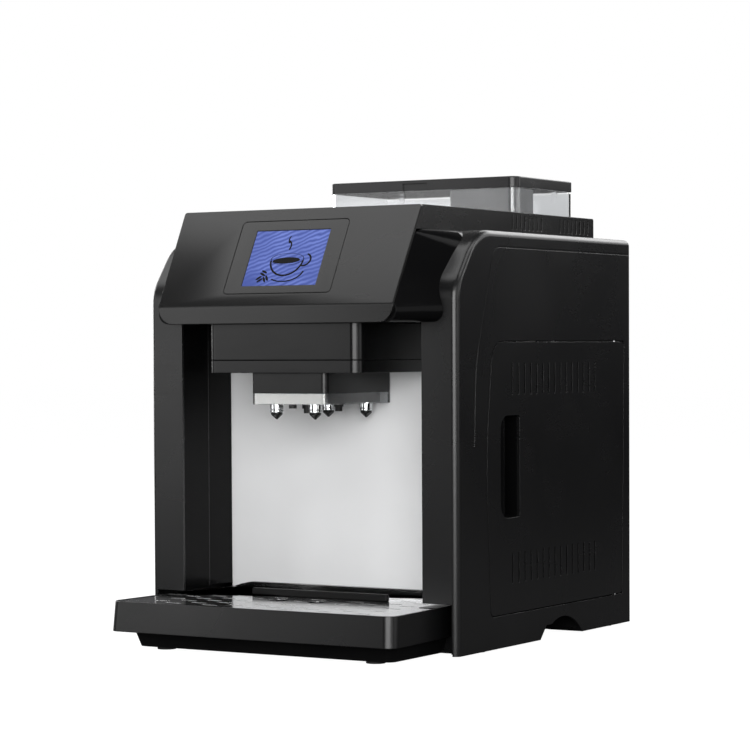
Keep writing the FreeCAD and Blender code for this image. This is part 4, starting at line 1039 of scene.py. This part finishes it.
@dataclass
class Studio:
    """Pale floor, soft lights and the camera."""

    place: Vector = Vector((1.2099, -1.976, 0.2566))
    bearing: float = 31.49
    pitch: float = 1.83
    roll: float = -0.30
    lens: float = 125.0
    shift: tuple[float, float] = (0.0029, 0.0753)
    target: Vector = Vector((0.0, 0.0, 0.2))
    floor_seen: Colour = (0.1, 0.1, 0.1)
    floor_mirrored: Colour = (0.02, 0.02, 0.02)
    floor_glow: Colour = (0.985, 0.985, 0.985)
    sky_seen: Colour = (1.0, 1.0, 1.0)
    sky_mirrored: Colour = (0.07, 0.07, 0.072)

    def camera(self) -> None:
        """Place the camera."""
        data = bpy.data.cameras.new("camera")
        data.lens = self.lens
        data.sensor_width = 36.0
        data.shift_x, data.shift_y = self.shift
        data.clip_end = 50.0
        camera = bpy.data.objects.new("camera", data)
        bpy.context.scene.collection.objects.link(camera)
        bearing, pitch, roll = (math.radians(angle) for angle in (self.bearing, self.pitch, self.roll))
        flat = Vector((-math.sin(bearing), math.cos(bearing), 0.0))
        ahead = flat * math.cos(pitch) - Vector((0.0, 0.0, math.sin(pitch)))
        right = Vector((math.cos(bearing), math.sin(bearing), 0.0))
        level = Matrix((right, right.cross(ahead), -ahead)).transposed()
        turn = level @ Matrix.Rotation(roll, 3, "Z")
        camera.matrix_world = Matrix.Translation(self.place) @ turn.to_4x4()
        bpy.context.scene.camera = camera

    def floor(self) -> None:
        """Lay the pale floor."""
        mesh = bmesh.new()
        bmesh.ops.create_grid(mesh, x_segments=1, y_segments=1, size=FLOOR_HALF)
        data = bpy.data.meshes.new("floor")
        mesh.to_mesh(data)
        mesh.free()
        floor = bpy.data.objects.new("floor", data)
        bpy.context.scene.collection.objects.link(floor)
        material = bpy.data.materials.new("floor")
        material.use_nodes = True
        graph = Graph(material.node_tree)
        shader = material.node_tree.nodes["Principled BSDF"]
        shader.inputs["Roughness"].default_value = 0.9
        rays = graph.add("LightPath")
        seen = graph.math("MAXIMUM", rays.outputs["Is Camera Ray"], rays.outputs["Is Transmission Ray"])
        pale = graph.mix(seen, self.floor_mirrored, self.floor_seen)
        glow = graph.mix(seen, (0.0, 0.0, 0.0), self.floor_glow)
        graph.tree.links.new(pale, shader.inputs["Base Color"])
        graph.tree.links.new(glow, shader.inputs["Emission Color"])
        shader.inputs["Emission Strength"].default_value = 1.0
        data.materials.append(material)

    def sky(self) -> None:
        """White to the camera and dim grey to reflections, as in a dark studio with a white backdrop."""
        world = bpy.data.worlds.new("studio")
        bpy.context.scene.world = world
        world.use_nodes = True
        graph = Graph(world.node_tree)
        backdrop = world.node_tree.nodes["Background"]
        rays = graph.add("LightPath")
        seen = graph.math("MAXIMUM", rays.outputs["Is Camera Ray"], rays.outputs["Is Transmission Ray"])
        shade = graph.mix(seen, self.sky_mirrored, self.sky_seen)
        graph.tree.links.new(shade, backdrop.inputs["Color"])

    def build(self) -> None:
        """Set the whole studio."""
        self.camera()
        self.floor()
        self.sky()
        for softbox in (
            Softbox("key", 25.0, 0.35, 2.6, (2.0, 1.4), 64.0),
            Softbox("front_tone", -44.5, 0.2, 2.4, (1.5, 1.3), 10.5),
            Softbox("overhead", -68.6, 1.05, 1.095, (2.9, 0.8), 16.5, downward=True),
            Softbox("edge", 124.0, 0.9, 2.2, (0.5, 1.3), 8.0),
            Softbox("side_top", 148.5, 0.48, 0.75, (0.6, 0.5), 1.3),
            Softbox("high_side", 94.0, 1.6, 1.4, (1.2, 0.8), 9.0),
            Softbox("rim", 58.0, 0.3, 2.2, (0.25, 1.6), 4.5),
            Softbox("right_fill", 90.0, 0.5, 2.4, (1.3, 1.2), 7.0),
            Softbox("left_fill", -100.0, 0.5, 2.4, (1.3, 1.2), 9.0),
            Softbox("back", 181.0, 1.05, 1.7, (1.5, 0.6), 9.0),
            Softbox("rear_fill", 242.0, 0.8, 2.6, (1.6, 1.6), 32.0),
        ):
            softbox.build(self.target)
        bpy.context.scene.view_settings.view_transform = "Standard"


def main() -> None:
    """Dress the frame, add the fine pieces and set the studio."""
    wardrobe = Wardrobe(Effects())
    wardrobe.dress_frame()
    for part in (*CASINGS, ScreenIcon(), Nozzles(), SpoutStrip(), CupRail()):
        part.build(wardrobe)
    Studio().build()


if __name__ == "__main__":
    main()
